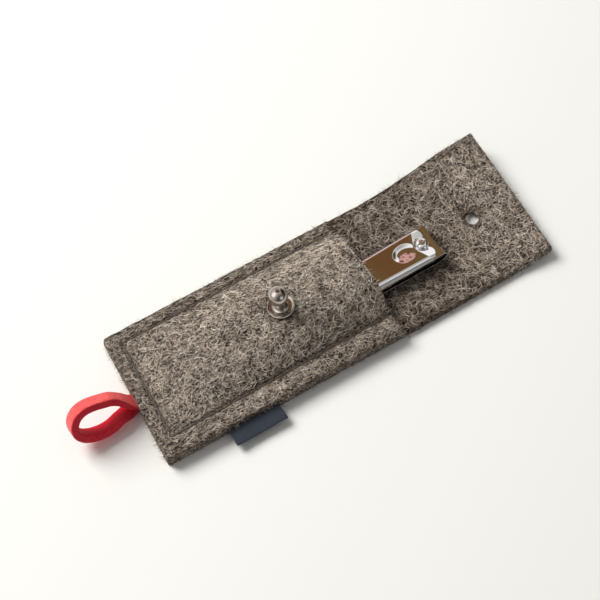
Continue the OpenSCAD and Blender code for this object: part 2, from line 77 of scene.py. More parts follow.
camera_data = bpy.data.cameras.new("camera")
camera_data.lens = FOCAL_LENGTH
camera_data.sensor_width = SENSOR_WIDTH
camera_data.clip_start = NEAREST_SEEN
camera = put_in_scene("camera", camera_data)
looking = (Matrix.Rotation(-VIEW_AZIMUTH, 4, "Z") @ Matrix.Rotation(math.pi / 2 - VIEW_ELEVATION, 4, "X")
           @ Matrix.Rotation(VIEW_ROLL, 4, "Z"))
camera.matrix_world = Matrix.Translation(VIEW_AIM) @ looking @ Matrix.Translation((0, 0, VIEW_DISTANCE))
bpy.context.scene.camera = camera


# Table and light
# A plain pale table top, lit by one broad window from the far left. Bright metal also mirrors the room:
# pale walls, a brown shelf, a clay pot, a bright pane, a pale card, a dark curtain and a dark near side.
class Wiring:
    """Lays down the shader nodes of a material, or of the room, and joins them as they come."""

    def __init__(self, owner):
        owner.use_nodes = True
        self.owner = owner
        self.tree = owner.node_tree
        self.tree.nodes.clear()

    def put(self, kind, inputs=None, **settings):
        node = self.tree.nodes.new(kind)
        for key, value in settings.items():
            setattr(node, key, value)
        for key, value in (inputs or {}).items():
            if isinstance(value, bpy.types.NodeSocket):
                self.tree.links.new(value, node.inputs[key])
            else:
                node.inputs[key].default_value = value
        return node

    def math(self, operation, a, b=0.0, c=0.0):
        return self.put("ShaderNodeMath", {0: a, 1: b, 2: c}, operation=operation).outputs[0]

    def vector(self, operation, a, b):
        node = self.put("ShaderNodeVectorMath", {0: a, 1: b}, operation=operation)
        return node.outputs["Value" if operation == "DOT_PRODUCT" else "Vector"]

    def between(self, value, low, high, to_low=0.0, to_high=1.0):
        return self.put("ShaderNodeMapRange", {0: value, 1: low, 2: high, 3: to_low, 4: to_high},
                        interpolation_type="SMOOTHSTEP").outputs[0]

    def mix(self, share, a, b, blend="MIX"):
        node = self.put("ShaderNodeMix", {0: share, 6: a, 7: b}, data_type="RGBA", blend_type=blend)
        return node.outputs[2]

    def noise(self, place, scale, detail=2.0, roughness=0.5):
        return self.put("ShaderNodeTexNoise", {
            "Vector": place, "Scale": scale, "Detail": detail, "Roughness": roughness}).outputs[0]

    def bump(self, height, strength, depth):
        """Shaded relief, with its depth in mm."""
        return self.put("ShaderNodeBump", {
            "Height": height, "Strength": strength, "Distance": depth * MM}).outputs[0]

    def own_place(self):
        return self.put("ShaderNodeTexCoord").outputs["Object"]

    def rest_place(self):
        """Where a point lies when the case is open and flat, in metres."""
        return self.put("ShaderNodeAttribute", attribute_name="rest_place").outputs["Vector"]

    def in_mm(self, place):
        return self.vector("MULTIPLY", place, (1 / MM, 1 / MM, 1 / MM))

    def finish(self, inputs):
        """Ends the material in one shader with these inputs, and gives the material back."""
        shader = self.put("ShaderNodeBsdfPrincipled", inputs)
        self.put("ShaderNodeOutputMaterial", {"Surface": shader.outputs[0]})
        return self.owner


TABLE_COLOUR = (0.9, 0.9, 0.87, 1)
TABLE_HALF = 3.0
table_mesh = bpy.data.meshes.new("table")
table_corners = [(x * TABLE_HALF, y * TABLE_HALF, 0) for x, y in ((-1, -1), (1, -1), (1, 1), (-1, 1))]
table_mesh.from_pydata(table_corners, [], [(0, 1, 2, 3)])
table = put_in_scene("table", table_mesh)
table_mesh.materials.append(Wiring(bpy.data.materials.new("table_paint")).finish({
    "Base Color": TABLE_COLOUR, "Roughness": 0.6}))

WINDOW_PLACE = Vector((-0.52, 0.90, 1.06))
WINDOW_AIM = Vector((-0.02, 0, 0))
WINDOW_SIZE = 0.8
WINDOW_POWER = 27.0
WINDOW_COLOUR = (1.0, 0.985, 0.96)
window_data = bpy.data.lights.new("window", "AREA")
window_data.shape = "SQUARE"
window_data.size = WINDOW_SIZE
window_data.energy = WINDOW_POWER
window_data.color = WINDOW_COLOUR
window = put_in_scene("window", window_data)
window.location = WINDOW_PLACE
window.rotation_euler = (WINDOW_AIM - WINDOW_PLACE).to_track_quat("-Z", "Y").to_euler()
window.visible_glossy = False

ROOM_LIGHT = (0.28, 0.28, 0.2828, 1)
BACKDROP_COLOUR = (1, 1, 0.99, 1)
WALL_FOOT_COLOUR = (0.5, 0.5, 0.5, 1)
WALL_TOP_COLOUR = (1.0, 0.99, 0.97, 1)
DARK_SIDE_COLOUR = (0.09, 0.085, 0.095, 1)
CURTAIN_COLOUR = (0.07, 0.055, 0.045, 1)
CARD_COLOUR = (1.0, 1.0, 1.03, 1)
PANE_COLOUR = (2.2, 2.15, 2.1, 1)
SHELF_COLOUR = (0.150, 0.070, 0.027, 1)
SHELF_END_COLOUR = (0.170, 0.125, 0.055, 1)
POT_COLOUR = (0.66, 0.36, 0.32, 1)
POT_SHADE_COLOUR = (0.14, 0.06, 0.05, 1)
room = bpy.data.worlds.new("room")
bpy.context.scene.world = room
wire = Wiring(room)
direction = wire.put("ShaderNodeTexCoord").outputs["Generated"]
rays = wire.put("ShaderNodeLightPath")
height = wire.put("ShaderNodeSeparateXYZ", {0: direction}).outputs[2]
shelf = wire.mix(wire.between(wire.noise(direction, 26.0), 0.4, 0.6), SHELF_COLOUR, SHELF_END_COLOUR)
pot = wire.mix(wire.between(wire.noise(direction, 11.0, 1.0), 0.5, 0.62), POT_COLOUR, POT_SHADE_COLOUR)
mirrored = wire.mix(wire.between(height, -0.1, 0.6), WALL_FOOT_COLOUR, WALL_TOP_COLOUR)
# Each thing in the mirrored room: its direction, the cosines where it begins and is whole, and its colour
for centre, begins, whole, colour in (
        ((0.1, -0.95, 0.3), 0.0, 0.97, DARK_SIDE_COLOUR),
        ((0.95, 0.0, 0.31), 0.76, 0.88, CURTAIN_COLOUR),
        ((0.26, -0.87, 0.43), 0.93, 0.99, CARD_COLOUR),
        ((-0.62, 0.30, 0.72), 0.90, 0.93, PANE_COLOUR),
        ((0.257, 0.421, 0.870), 0.935, 0.945, shelf),
        ((0.30, 0.72, 0.626), 0.955, 0.968, pot)):
    facing = wire.vector("DOT_PRODUCT", direction, centre)
    mirrored = wire.mix(wire.between(facing, begins, whole), mirrored, colour)
lit = wire.mix(rays.outputs["Is Glossy Ray"], ROOM_LIGHT, mirrored)
backdrop = wire.mix(rays.outputs["Is Camera Ray"], lit, BACKDROP_COLOUR)
glow = wire.put("ShaderNodeBackground", {"Color": backdrop})
wire.put("ShaderNodeOutputWorld", {"Surface": glow.outputs[0]})


# Felt strip
# One length of 3 mm heathered wool felt, cut with a blade. Its left half is the pocket's back, and the
# rest is the flap, whose far corner has curled up from the table. A round hole buttons over the stud.
FELT = 3.0
FAR_EDGE = 27.5
NEAR_EDGE = -27.5
STRIP_WIDTH = FAR_EDGE - NEAR_EDGE
SEWN_END = -94.2
SEWN_ASKEW = 3.0
FLAP_END = 67.0
FLAP_ASKEW = 2.5
STRIP_LENGTH = FLAP_END - SEWN_END
NEAR_TAPER = 1.2
FAR_SEAM = 21.4
NEAR_SEAM = -19.2
END_SEAM = 5.3
SEAM_FRONT = -1.2
FLAP_SEAM = 5.6
FLAP_SEAM_START = 3.0
FLAP_SEAM_SIDE = FAR_EDGE - FLAP_SEAM
HOLE = Vector((49.128, 0.076))
HOLE_RADIUS = 2.65
CURL_FAR = 6.6
CURL_NEAR = 2.3
PRESSED_SHARE = 0.88
PRESSED_SPREAD = 90


def ease(value, low=0.0, high=1.0):
    share = min(1.0, max(0.0, (value - low) / (high - low)))
    return share * share * (3 - 2 * share)


def sewn_x(y):
    return SEWN_END + SEWN_ASKEW * y / STRIP_WIDTH


def flap_end_x(y):
    return FLAP_END + FLAP_ASKEW * y / STRIP_WIDTH


def near_edge_y(x):
    return NEAR_EDGE - NEAR_TAPER * min(0.0, x) / -SEWN_END


def flap_curl(x, y):
    """How far the flap's felt has lifted off the table: most at its far corner, and least round the hole."""
    far = CURL_FAR * (0.55 * ease(x, 12, 60) + 0.45 * ease(x, 20, 78) / ease(68, 20, 78))
    near = CURL_NEAR * ease(x, 46, 74) / ease(66, 46, 74)
    across = min(1.1, max(0.0, (y - NEAR_EDGE) / STRIP_WIDTH)) ** (3.2 - 2.2 * ease(x, 26, 46))
    from_hole = (x - HOLE.x) ** 2 + (y - HOLE.y) ** 2
    return (near + (far - near) * across) * (1 - PRESSED_SHARE * math.exp(-from_hole / PRESSED_SPREAD))


def waves(x, y, layers):
    """Smooth random waves, added up. Each layer: waves per mm, height in mm, and its slice of the noise."""
    return sum(height * noise.noise(Vector((x * often, y * often, cut))) for often, height, cut in layers)


def felt_bumps(x, y, seed):
    """Small unevenness of the pressed wool, in mm."""
    return waves(x, y, ((0.11, 0.16, seed), (0.55, 0.10, seed + 9), (1.6, 0.07, seed + 17)))


def seam_x(y):
    return sewn_x(y) + END_SEAM


NO_SEAM_NEAR = 9.0


def to_pocket_seam(x, y):
    """Distance to the pocket's seam, which runs up one side, across the sewn end and back."""
    reach = [NO_SEAM_NEAR]
    if seam_x(y) < x < SEAM_FRONT:
        reach += [abs(y - FAR_SEAM), abs(y - NEAR_SEAM)]
    if NEAR_SEAM < y < FAR_SEAM:
        reach.append(abs(x - seam_x(y)))
    return min(reach)


def to_flap_seam(x, y):
    """Distance to the row of stitches round the flap's edge."""
    reach = [NO_SEAM_NEAR]
    end = flap_end_x(y) - FLAP_SEAM
    if FLAP_SEAM_START < x < end:
        reach += [abs(y - FLAP_SEAM_SIDE), abs(y + FLAP_SEAM_SIDE)]
    if abs(y) < FLAP_SEAM_SIDE:
        reach.append(abs(x - end))
    return min(reach)


GROOVE_REACH = 0.7


def stitch_dip(distance, depth):
    """How far the thread pulls the felt in."""
    return depth * math.exp(-(distance / GROOVE_REACH) ** 2)


def edge_round(distance, radius):
    """How much a cut edge has rounded over, at a distance in from it."""
    if distance >= radius:
        return 0.0
    return radius - math.sqrt(max(0.0, radius * radius - (radius - distance) ** 2))


EDGE_ROWS = (0.0, 0.12, 0.35)
ROWS_START = 0.7


def stations(length, step):
    """Places from 0 to a length, closer together at both ends."""
    inner = np.linspace(ROWS_START, length - ROWS_START, max(2, round(length / step)))
    return [*EDGE_ROWS, *inner, *[length - e for e in reversed(EDGE_ROWS)]]


def round_corner(along, across, length, width, radii):
    """Pulls a point of a rectangle in to its rounded outline. The radii follow the corners' order."""
    corners = ((0, 0), (0, width), (length, 0), (length, width))
    for (start_a, start_b), r in zip(corners, radii):
        a = (r - along) if start_a == 0 else (along - (length - r))
        b = (r - across) if start_b == 0 else (across - (width - r))
        if r > 0 and a > 0 and b > 0:
            a, b = a / r, b / r
            a, b = a * math.sqrt(1 - b * b / 2) * r, b * math.sqrt(1 - a * a / 2) * r
            along = (r - a) if start_a == 0 else (length - r + a)
            across = (r - b) if start_b == 0 else (width - r + b)
    return along, across


def mesh_in_mm(name, points, faces):
    mesh = bpy.data.meshes.new(name)
    mesh.from_pydata([tuple(c * MM for c in point) for point in points], [], faces)
    return mesh


def slab(name, row_places, column_places, points_at):
    """A closed sheet from two grids of points: its top and its underside, joined round the edge."""
    pairs = [points_at(row, column) for row in row_places for column in column_places]
    rows, columns = len(row_places), len(column_places)
    n = rows * columns
    faces = []
    for i in range(rows - 1):
        for j in range(columns - 1):
            a = i * columns + j
            faces.append((a, a + columns, a + columns + 1, a + 1))
            faces.append((a + n, a + n + 1, a + n + columns + 1, a + n + columns))
    rim = [(0, j) for j in range(columns)] + [(i, columns - 1) for i in range(1, rows)]
    rim += [(rows - 1, j) for j in range(columns - 2, -1, -1)] + [(i, 0) for i in range(rows - 2, 0, -1)]
    for k, (i, j) in enumerate(rim):
        i2, j2 = rim[(k + 1) % len(rim)]
        a, b = i * columns + j, i2 * columns + j2
        faces.append((a, b, b + n, a + n))
    return mesh_in_mm(name, [top for top, _ in pairs] + [under for _, under in pairs], faces)


FOLD_X = 7.0
FOLD_REACH = 4.5
FOLD_SPARE = 9.0


def keep_rest_places(mesh, crosses_fold=False):
    """Stores where each point lies at rest, so that the wool's pattern stays put as the felt bends.
    The pattern lies closer at the fold, which stretches when the flap is shut."""
    places = mesh.attributes.get("rest_place") or mesh.attributes.new("rest_place", "FLOAT_VECTOR", "POINT")
    flat = np.empty(len(mesh.vertices) * 3, np.float32)
    mesh.vertices.foreach_get("co", flat)
    if crosses_fold:
        share = np.clip((flat[0::3] / MM - FOLD_X + FOLD_REACH) / (2 * FOLD_REACH), 0, 1)
        flat[0::3] += FOLD_SPARE * MM * share * share * (3 - 2 * share)
    places.data.foreach_set("vector", flat)


def add_piece(name, mesh, material, smooth=True):
    piece = put_in_scene(name, mesh)
    mesh.materials.append(material)
    if smooth:
        mesh.shade_smooth()
    return piece


WOOL_BLACK = (0.020, 0.013, 0.010, 1)
WOOL_BROWN = (0.060, 0.039, 0.028, 1)
WOOL_GREY = (0.082, 0.060, 0.046, 1)
WOOL_PALE = (0.66, 0.545, 0.44, 1)
WOOL_WHITE = (0.98, 0.88, 0.76, 1)
# Darker wool, multiplied in: the wool's own tone for tufts and the border, painted shade in grooves and
# beside the pocket's mouth
WOOL_TONE_AND_SHADE = (0.42, 0.38, 0.35, 1)
STRAND_TURNS = (20, 83, 141)
# Each layer of tangled fibres: turn in degrees, stretch along the fibre, scale, half width and colour
FIBRE_LAYERS = (
    (12, 0.26, 2.4, 0.070, WOOL_BLACK), (74, 0.24, 2.3, 0.055, WOOL_PALE),
    (131, 0.24, 2.2, 0.065, WOOL_BLACK), (35, 0.22, 2.5, 0.052, WOOL_PALE),
    (98, 0.26, 2.4, 0.065, WOOL_BLACK), (160, 0.22, 2.3, 0.052, WOOL_PALE),
    (57, 0.25, 2.4, 0.060, WOOL_BLACK), (118, 0.22, 2.3, 0.048, WOOL_PALE),
    (84, 0.18, 1.2, 0.032, WOOL_WHITE), (146, 0.18, 1.1, 0.030, WOOL_WHITE),
    (22, 0.18, 1.2, 0.029, WOOL_WHITE))


def lying(wire, place, turn, stretch, shift=(0, 0, 0)):
    """Places turned by some degrees, and drawn out along the fibres that lie that way."""
    return wire.put("ShaderNodeMapping", {
        "Vector": place, "Location": shift, "Rotation": (0, 0, math.radians(turn)),
        "Scale": (stretch, 1.0, 1.0)}).outputs[0]


def tangled_wool(wire, place):
    """Colour and relief of the wool: patches, then short specks, then the layers of crooked fibres."""
    drift = wire.put("ShaderNodeTexNoise", {"Vector": place, "Scale": 0.8, "Detail": 1.0}).outputs[1]
    wander = wire.vector("SUBTRACT", drift, (0.5, 0.5, 0.5))
    bent = wire.vector("ADD", place, wire.vector("MULTIPLY", wander, (0.9, 0.9, 0.9)))
    breaks = wire.put("ShaderNodeSeparateXYZ", {0: drift})
    patches = wire.between(wire.noise(place, 0.11, 3.0, 0.6), 0.36, 0.64)
    wool = wire.mix(patches, WOOL_BROWN, WOOL_GREY)
    strands = [wire.noise(lying(wire, bent, turn, 0.3), 3.3, 0.0) for turn in STRAND_TURNS]
    strands = wire.math("ADD", wire.math("ADD", strands[0], strands[1]), strands[2])
    specks = wire.math("MULTIPLY", strands, 1 / len(STRAND_TURNS))
    wool = wire.mix(wire.between(specks, 0.50, 0.42), wool, WOOL_BLACK)
    wool = wire.mix(wire.between(specks, 0.52, 0.61, 0.0, 0.7), wool, WOOL_PALE)
    relief = wire.math("MULTIPLY", specks, 0.5)
    for i, (turn, stretch, scale, half_width, colour) in enumerate(FIBRE_LAYERS):
        along_fibre = lying(wire, bent, turn, stretch, (turn * 1.7, turn * 0.9, turn * 0.37))
        line = wire.math("ABSOLUTE", wire.math("SUBTRACT", wire.noise(along_fibre, scale, 0.0), 0.5))
        low, high = ((0.40, 0.47), (0.57, 0.50))[i % 2]
        shown = wire.between(breaks.outputs[i % 3], low, high)
        fibre = wire.math("MULTIPLY", wire.between(line, half_width, half_width * 0.4, 0.0, 0.9), shown)
        wool = wire.mix(fibre, wool, colour)
        rise = -0.5 if colour is WOOL_BLACK else 0.5
        relief = wire.math("ADD", relief, wire.math("MULTIPLY", fibre, rise))
    return wool, relief


def seam_shades(wire, x, y):
    """Shares of darker wool: outside the pocket's seam, and painted shade in that seam's groove and in the
    flap's groove.
    """
    middle = (FAR_SEAM + NEAR_SEAM) / 2
    from_middle = wire.math("ABSOLUTE", wire.math("SUBTRACT", y, middle))
    past_side = wire.math("SUBTRACT", from_middle, FAR_SEAM - middle)
    seam_end = wire.math("MULTIPLY_ADD", y, SEWN_ASKEW / STRIP_WIDTH, SEWN_END + END_SEAM)
    past_seam = wire.math("MAXIMUM", past_side, wire.math("SUBTRACT", seam_end, x))
    on_pocket_half = wire.between(x, 2.0, -2.0)
    border = wire.between(past_seam, -0.5, 1.5, 0.0, 0.3)
    # Painted shade in the groove along the pocket's seam.
    groove = wire.between(wire.math("ABSOLUTE", past_seam), 1.1, 0.2, 0.0, 0.5)
    past_side = wire.math("SUBTRACT", wire.math("ABSOLUTE", y), FLAP_SEAM_SIDE)
    flap_end = wire.math("MULTIPLY_ADD", y, FLAP_ASKEW / STRIP_WIDTH, FLAP_END - FLAP_SEAM + FOLD_SPARE)
    past_flap_seam = wire.math("MAXIMUM", past_side, wire.math("SUBTRACT", x, flap_end))
    # Painted shade in the groove along the flap's seam.
    flap_groove = wire.between(wire.math("ABSOLUTE", past_flap_seam), 0.9, 0.2, 0.0, 0.6)
    return (wire.math("MULTIPLY", border, on_pocket_half), wire.math("MULTIPLY", groove, on_pocket_half),
            wire.math("MULTIPLY", flap_groove, wire.between(x, 3.0, 9.0)))


def mouth_shadow_share(wire, x, spare):
    """Share of painted shadow on the flap, darkest beside the pocket's mouth, where the pocket and clipper
    shade it.
    spare is how far the rest places past the fold are shifted, as keep_rest_places does for the felt itself."""
    towards_mouth = wire.between(x, 71.0 + spare, 15.0 + spare, 0.08, 0.92)
    return wire.math("MULTIPLY", wire.between(x, -1.0, 2.0), towards_mouth)


def wool_felt(name):
    """Heathered felt: black, brown and pale fibres lie tangled every way, each a short crooked line."""
    wire = Wiring(bpy.data.materials.new(name))
    place = wire.in_mm(wire.rest_place())
    wool, relief = tangled_wool(wire, place)
    tuft = wire.between(wire.noise(place, 0.33, 3.0, 0.65), 0.38, 0.62, 0.0, 0.5)
    x, y, _ = wire.put("ShaderNodeSeparateXYZ", {0: place}).outputs
    # Darker: the tufts at random, the border outside the pocket's seam, painted shade in the seams' grooves
    # and painted shadow beside the pocket's mouth
    for share in (tuft, *seam_shades(wire, x, y), mouth_shadow_share(wire, x, FOLD_SPARE)):
        wool = wire.mix(share, wool, WOOL_TONE_AND_SHADE, "MULTIPLY")
    return wire.finish({"Base Color": wool, "Roughness": 0.95, "Specular IOR Level": 0.1,
                        "Normal": wire.bump(relief, 1.0, 0.28)})


STRIP_CORNERS = (1.0, 1.3, 0.7, 0.5)
STRIP_CUT = ((0.4, 0.16, 3.3), (1.9, 0.22, 5.1))
FAR_EDGE_DRIFT = 1.4
EDGE_RADIUS = 0.7
STRIP_SEED = 1.0
QUIET_UNDER_POCKET = 0.4
FLAP_GROOVE_DEPTH = 0.22
UNDER_GROOVE_DEPTH = 0.75
LAYER_GAP = 0.02
HOLE_WEAR = 0.95
HOLE_WEAR_REACH = 2.2


def strip_place(along, across):
    a, b = round_corner(along, across, STRIP_LENGTH, STRIP_WIDTH, STRIP_CORNERS)
    share = b / STRIP_WIDTH
    y = NEAR_EDGE + b
    x = sewn_x(y) + (flap_end_x(y) - sewn_x(y)) * a / STRIP_LENGTH
    near = near_edge_y(x)
    y = near + (FAR_EDGE - near) * share
    drift = FAR_EDGE_DRIFT * ease(x, 20, 70) * ease(y, 0, FAR_EDGE)
    return x, y + waves(x, y, STRIP_CUT) + drift


def hole_wear(x, y):
    """How far the felt has worn thin round the hole, on each face."""
    from_wall = math.hypot(x - HOLE.x, y - HOLE.y) - HOLE_RADIUS
    return HOLE_WEAR * ease(HOLE_WEAR_REACH - from_wall, 0, HOLE_WEAR_REACH)


def strip_points(along, across):
    """A point of the strip's top, and the one below it on its underside."""
    x, y = strip_place(along, across)
    rim = edge_round(min(along, STRIP_LENGTH - along, across, STRIP_WIDTH - across), EDGE_RADIUS)
    wear = hole_wear(x, y)
    quiet = QUIET_UNDER_POCKET if x < 0 else 1.0
    flap_dip = stitch_dip(to_flap_seam(x, y), FLAP_GROOVE_DEPTH)
    top = FELT - rim + felt_bumps(x, y, STRIP_SEED) * quiet - flap_dip - wear
    under_dip = stitch_dip(min(to_pocket_seam(x, y), to_flap_seam(x, y)), UNDER_GROOVE_DEPTH)
    under = LAYER_GAP + rim * 0.7 + under_dip + wear
    lift = flap_curl(x, y)
    return (x, y, top + lift), (x, y, under + lift)


def punch_hole(mesh, centre, radius):
    """Cuts the flap's round hole: removes the felt inside it, and walls it round."""
    work = bmesh.new()
    work.from_mesh(mesh)
    inside = [v for v in work.verts if (Vector((v.co.x, v.co.y)) / MM - centre).length < radius]
    bmesh.ops.delete(work, geom=inside, context="VERTS")
    edges = [e for e in work.edges if e.is_boundary]
    for edge in edges:
        for v in edge.verts:
            flat = Vector((v.co.x, v.co.y)) / MM - centre
            flat = centre + flat.normalized() * radius
            v.co.x, v.co.y = flat.x * MM, flat.y * MM
    bmesh.ops.bridge_loops(work, edges=edges)
    bmesh.ops.recalc_face_normals(work, faces=work.faces)
    work.to_mesh(mesh)
    work.free()


strip_mesh = slab("felt_strip", stations(STRIP_LENGTH, 0.62), stations(STRIP_WIDTH, 0.5), strip_points)
punch_hole(strip_mesh, HOLE, HOLE_RADIUS)
keep_rest_places(strip_mesh, crosses_fold=True)
felt_wool = wool_felt("grey_brown_wool")
felt_strip = add_piece("felt_strip", strip_mesh, felt_wool)
fold_start = Vector((FOLD_X - FOLD_REACH, 0, 0)) * MM
fold_end = Vector((FOLD_X + FOLD_REACH, 0, 0)) * MM
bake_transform(felt_strip, "flap", "case", start=fold_end, end=fold_start)
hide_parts("back_panel", "flap_bend", "flap", "button_hole_felt")


# Pocket panel
# A second piece of the same felt, a little narrower than the strip and sewn down on three sides. It was
# stretched over the clipper and keeps that dome, highest at the open mouth on the right.
PANEL_FAR = 26.2
PANEL_WIDTH = PANEL_FAR - NEAR_EDGE
PANEL_LENGTH = 94.5
PANEL_CORNERS = (0.9, 1.2, 0, 0)
PANEL_CUT = ((0.35, 0.2, 7.7), (1.9, 0.15, 2.1))
PANEL_EDGE_RADIUS = 0.4
POCKET_SEED = 5.0
MOUTH_X = 0.3
MOUTH_ASKEW = 0.03
MOUTH_BOW = 1.1
BULGE = 9.76
CREST_Y = -1.0
SEAM_DEPTH = 0.8
INNER = 1.2
STUD = Vector((-34.6, -0.3, 14.36))
STUD_TIP_X = math.tan(math.radians(7))
STUD_TIP_Y = math.tan(math.radians(5))
FLANGE_GAP = 0.03
FLANGE_PRESS_START = 4.9
FLANGE_PRESS_END = 7.2
CLAMP_RADIUS = 4.2
CLAMPED_FELT = 1.85


def mouth_x(y):
    return MOUTH_X + MOUTH_ASKEW * y - MOUTH_BOW * math.exp(-((y - 2) / 9) ** 2)


def dome(x, y, inset):
    """Height of the pocket's dome over the flat felt. The inset takes its foot in, for the inner face."""
    share = (mouth_x(y) - x) / (mouth_x(y) - seam_x(y) - inset)
    if y > CREST_Y:
        side = (y - CREST_Y) / (FAR_SEAM - inset - CREST_Y)
    else:
        side = (CREST_Y - y) / (CREST_Y - NEAR_SEAM - inset)
    if share >= 1 or side >= 1:
        return 0.0
    return BULGE * (1 - max(share, 0) ** 2.4) ** 0.9 * (1 - side ** 2.5) ** 1.3


def from_stud(x, y):
    return math.hypot(x - STUD.x, y - STUD.y)


def stud_plane(x, y):
    """Height of the leaning seat under the stud's flange."""
    return STUD.z + STUD_TIP_X * (x - STUD.x) - STUD_TIP_Y * (y - STUD.y)


def panel_top(x, y):
    dip = stitch_dip(to_pocket_seam(x, y), SEAM_DEPTH)
    z = 2 * FELT + dome(x, y, 0) - dip + felt_bumps(x, y, POCKET_SEED)
    pressed = min(z, stud_plane(x, y) - FLANGE_GAP)
    return z + (pressed - z) * (1 - ease(from_stud(x, y), FLANGE_PRESS_START, FLANGE_PRESS_END))


def panel_floor(x, y):
    z = FELT + LAYER_GAP + dome(x, y, INNER)
    return max(z, stud_plane(x, y) - CLAMPED_FELT) if from_stud(x, y) < CLAMP_RADIUS else z


def panel_points(along, across):
    """A point of the panel's outer face, and the one below it on its inner face."""
    a, b = round_corner(along, across, PANEL_LENGTH, PANEL_WIDTH, PANEL_CORNERS)
    y = NEAR_EDGE + b
    x = sewn_x(y) + (mouth_x(y) - sewn_x(y)) * a / PANEL_LENGTH
    near = near_edge_y(x)
    y = near + (PANEL_FAR - near) * b / PANEL_WIDTH
    y += waves(x, y, PANEL_CUT)
    rim = edge_round(min(along, PANEL_LENGTH - along, across, PANEL_WIDTH - across), PANEL_EDGE_RADIUS)
    return (x, y, panel_top(x, y) - rim), (x, y, panel_floor(x, y) + rim * 0.4)


panel_mesh = slab("pocket_front", stations(PANEL_LENGTH, 0.6), stations(PANEL_WIDTH, 0.5), panel_points)
keep_rest_places(panel_mesh)
pocket_front = add_piece("pocket_front", panel_mesh, felt_wool)
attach(pocket_front, "case")
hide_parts("pocket_panel")


# Sewing thread
# Dark brown two-ply thread in a lock stitch: one thread lies on top and one below, and both dive into the
# same holes. One row closes the pocket on three sides, and one runs round the flap's edge.
THREAD_DARK = (0.035, 0.026, 0.020, 1)
THREAD_LIGHT = (0.20, 0.165, 0.135, 1)
THREAD_RADIUS = 0.34
THREAD_SIDES = 10
PLY_LENGTH = 1.1
PLY_LOBE = 0.17
STITCH_PITCH = 3.4
STITCH_SHARE = 0.72
STITCH_SHARE_IN_HOLES = 0.16
STITCH_RINGS = 13
STITCH_DIVE = 0.62
STITCH_CROWN = 0.1
STITCH_SLACK = 0.09
CORNER_GAP = 1.6
THREAD_IN_POCKET_GROOVE = 0.22
THREAD_IN_FLAP = 0.3
THREAD_UNDERNEATH = 0.4


def brown_thread():
    wire = Wiring(bpy.data.materials.new("brown_thread"))
    fluff = wire.noise(wire.rest_place(), 4200.0, 3.0, 0.7)
    colour = wire.mix(wire.between(fluff, 0.35, 0.68), THREAD_DARK, THREAD_LIGHT)
    return wire.finish({"Base Color": colour, "Roughness": 0.6, "Normal": wire.bump(fluff, 0.4, 0.05),
                        "Sheen Weight": 0.2})


def tube_faces(rings, sides, first=0):
    """Faces round a tube, ring after ring, with a cap on each end."""
    faces = []
    for k in range(rings - 1):
        for j in range(sides):
            a, b = first + k * sides + j, first + k * sides + (j + 1) % sides
            faces.append((a, b, b + sides, a + sides))
    last = first + (rings - 1) * sides
    return faces + [tuple(reversed(range(first, first + sides))), tuple(range(last, last + sides))]


def tube_mesh(name, runs, sides):
    """Round tubes in one mesh, from runs of (centre, radius, turn of the two plies or None) in mm."""
    points, faces = [], []
    for run in runs:
        first = len(points)
        for k, (centre, radius, turn) in enumerate(run):
            ahead = Vector(run[min(k + 1, len(run) - 1)][0])
            along = (ahead - Vector(run[max(k - 1, 0)][0])).normalized()
            across = along.cross(Vector((0, 0, 1)))
            across = across.normalized() if across.length > 0.05 else Vector((1, 0, 0))
            up = across.cross(along)
            for j in range(sides):
                angle = 2 * math.pi * j / sides
                lobe = 0.0 if turn is None else PLY_LOBE * math.cos(2 * (angle - turn))
                size = radius * (1 + lobe)
                point = Vector(centre) + across * (size * math.cos(angle)) + up * (size * math.sin(angle))
                points.append(point * MM)
        faces += tube_faces(len(run), sides, first)
    mesh = bpy.data.meshes.new(name)
    mesh.from_pydata(points, [], faces)
    keep_rest_places(mesh)
    return mesh


def stitch_row(start, end, height, outward):
    """The stitches of one straight row. height gives the thread's middle line, and outward is +1 or -1."""
    start, end = Vector(start), Vector(end)
    count = math.floor((end - start).length / STITCH_PITCH)
    step = (end - start) / count
    runs = []
    for i in range(count):
        run = []
        for k in range(STITCH_RINGS):
            t = k / (STITCH_RINGS - 1)
            flat = start + step * (i + 0.5 + (t - 0.5) * (STITCH_SHARE + STITCH_SHARE_IN_HOLES))
            dive = STITCH_DIVE * (2 * t - 1) ** 6 - STITCH_CROWN * math.sin(math.pi * t)
            slack = STITCH_SLACK * noise.noise(Vector((flat.x * 0.9, flat.y * 0.9, 4.4)))
            place = (flat.x + slack, flat.y + slack, height(flat.x, flat.y) - outward * dive)
            run.append((place, THREAD_RADIUS, 2 * math.pi * t * step.length * STITCH_SHARE / PLY_LENGTH))
        runs.append(run)
    return runs


def rows_round(corners, front_x, height, outward):
    """A row along each side, always from low x to high, and one across the end from near to far."""
    inward = Vector((0, CORNER_GAP))
    rows = [sorted((corner, (front_x, corner[1]))) for corner in corners]
    far_corner, near_corner = [Vector(corner) for corner in corners]
    rows.append((near_corner + inward, far_corner - inward))
    return [run for start, end in rows for run in stitch_row(start, end, height, outward)]


def pocket_rows(height, outward):
    return rows_round([(seam_x(y), y) for y in (FAR_SEAM, NEAR_SEAM)], SEAM_FRONT, height, outward)


def flap_rows(height, outward):
    corners = [(flap_end_x(y) - FLAP_SEAM, y) for y in (FLAP_SEAM_SIDE, -FLAP_SEAM_SIDE)]
    return rows_round(corners, FLAP_SEAM_START, height, outward)


thread_twist = brown_thread()


def sewn(name, runs):
    return add_piece(name, tube_mesh(name, runs, THREAD_SIDES), thread_twist)


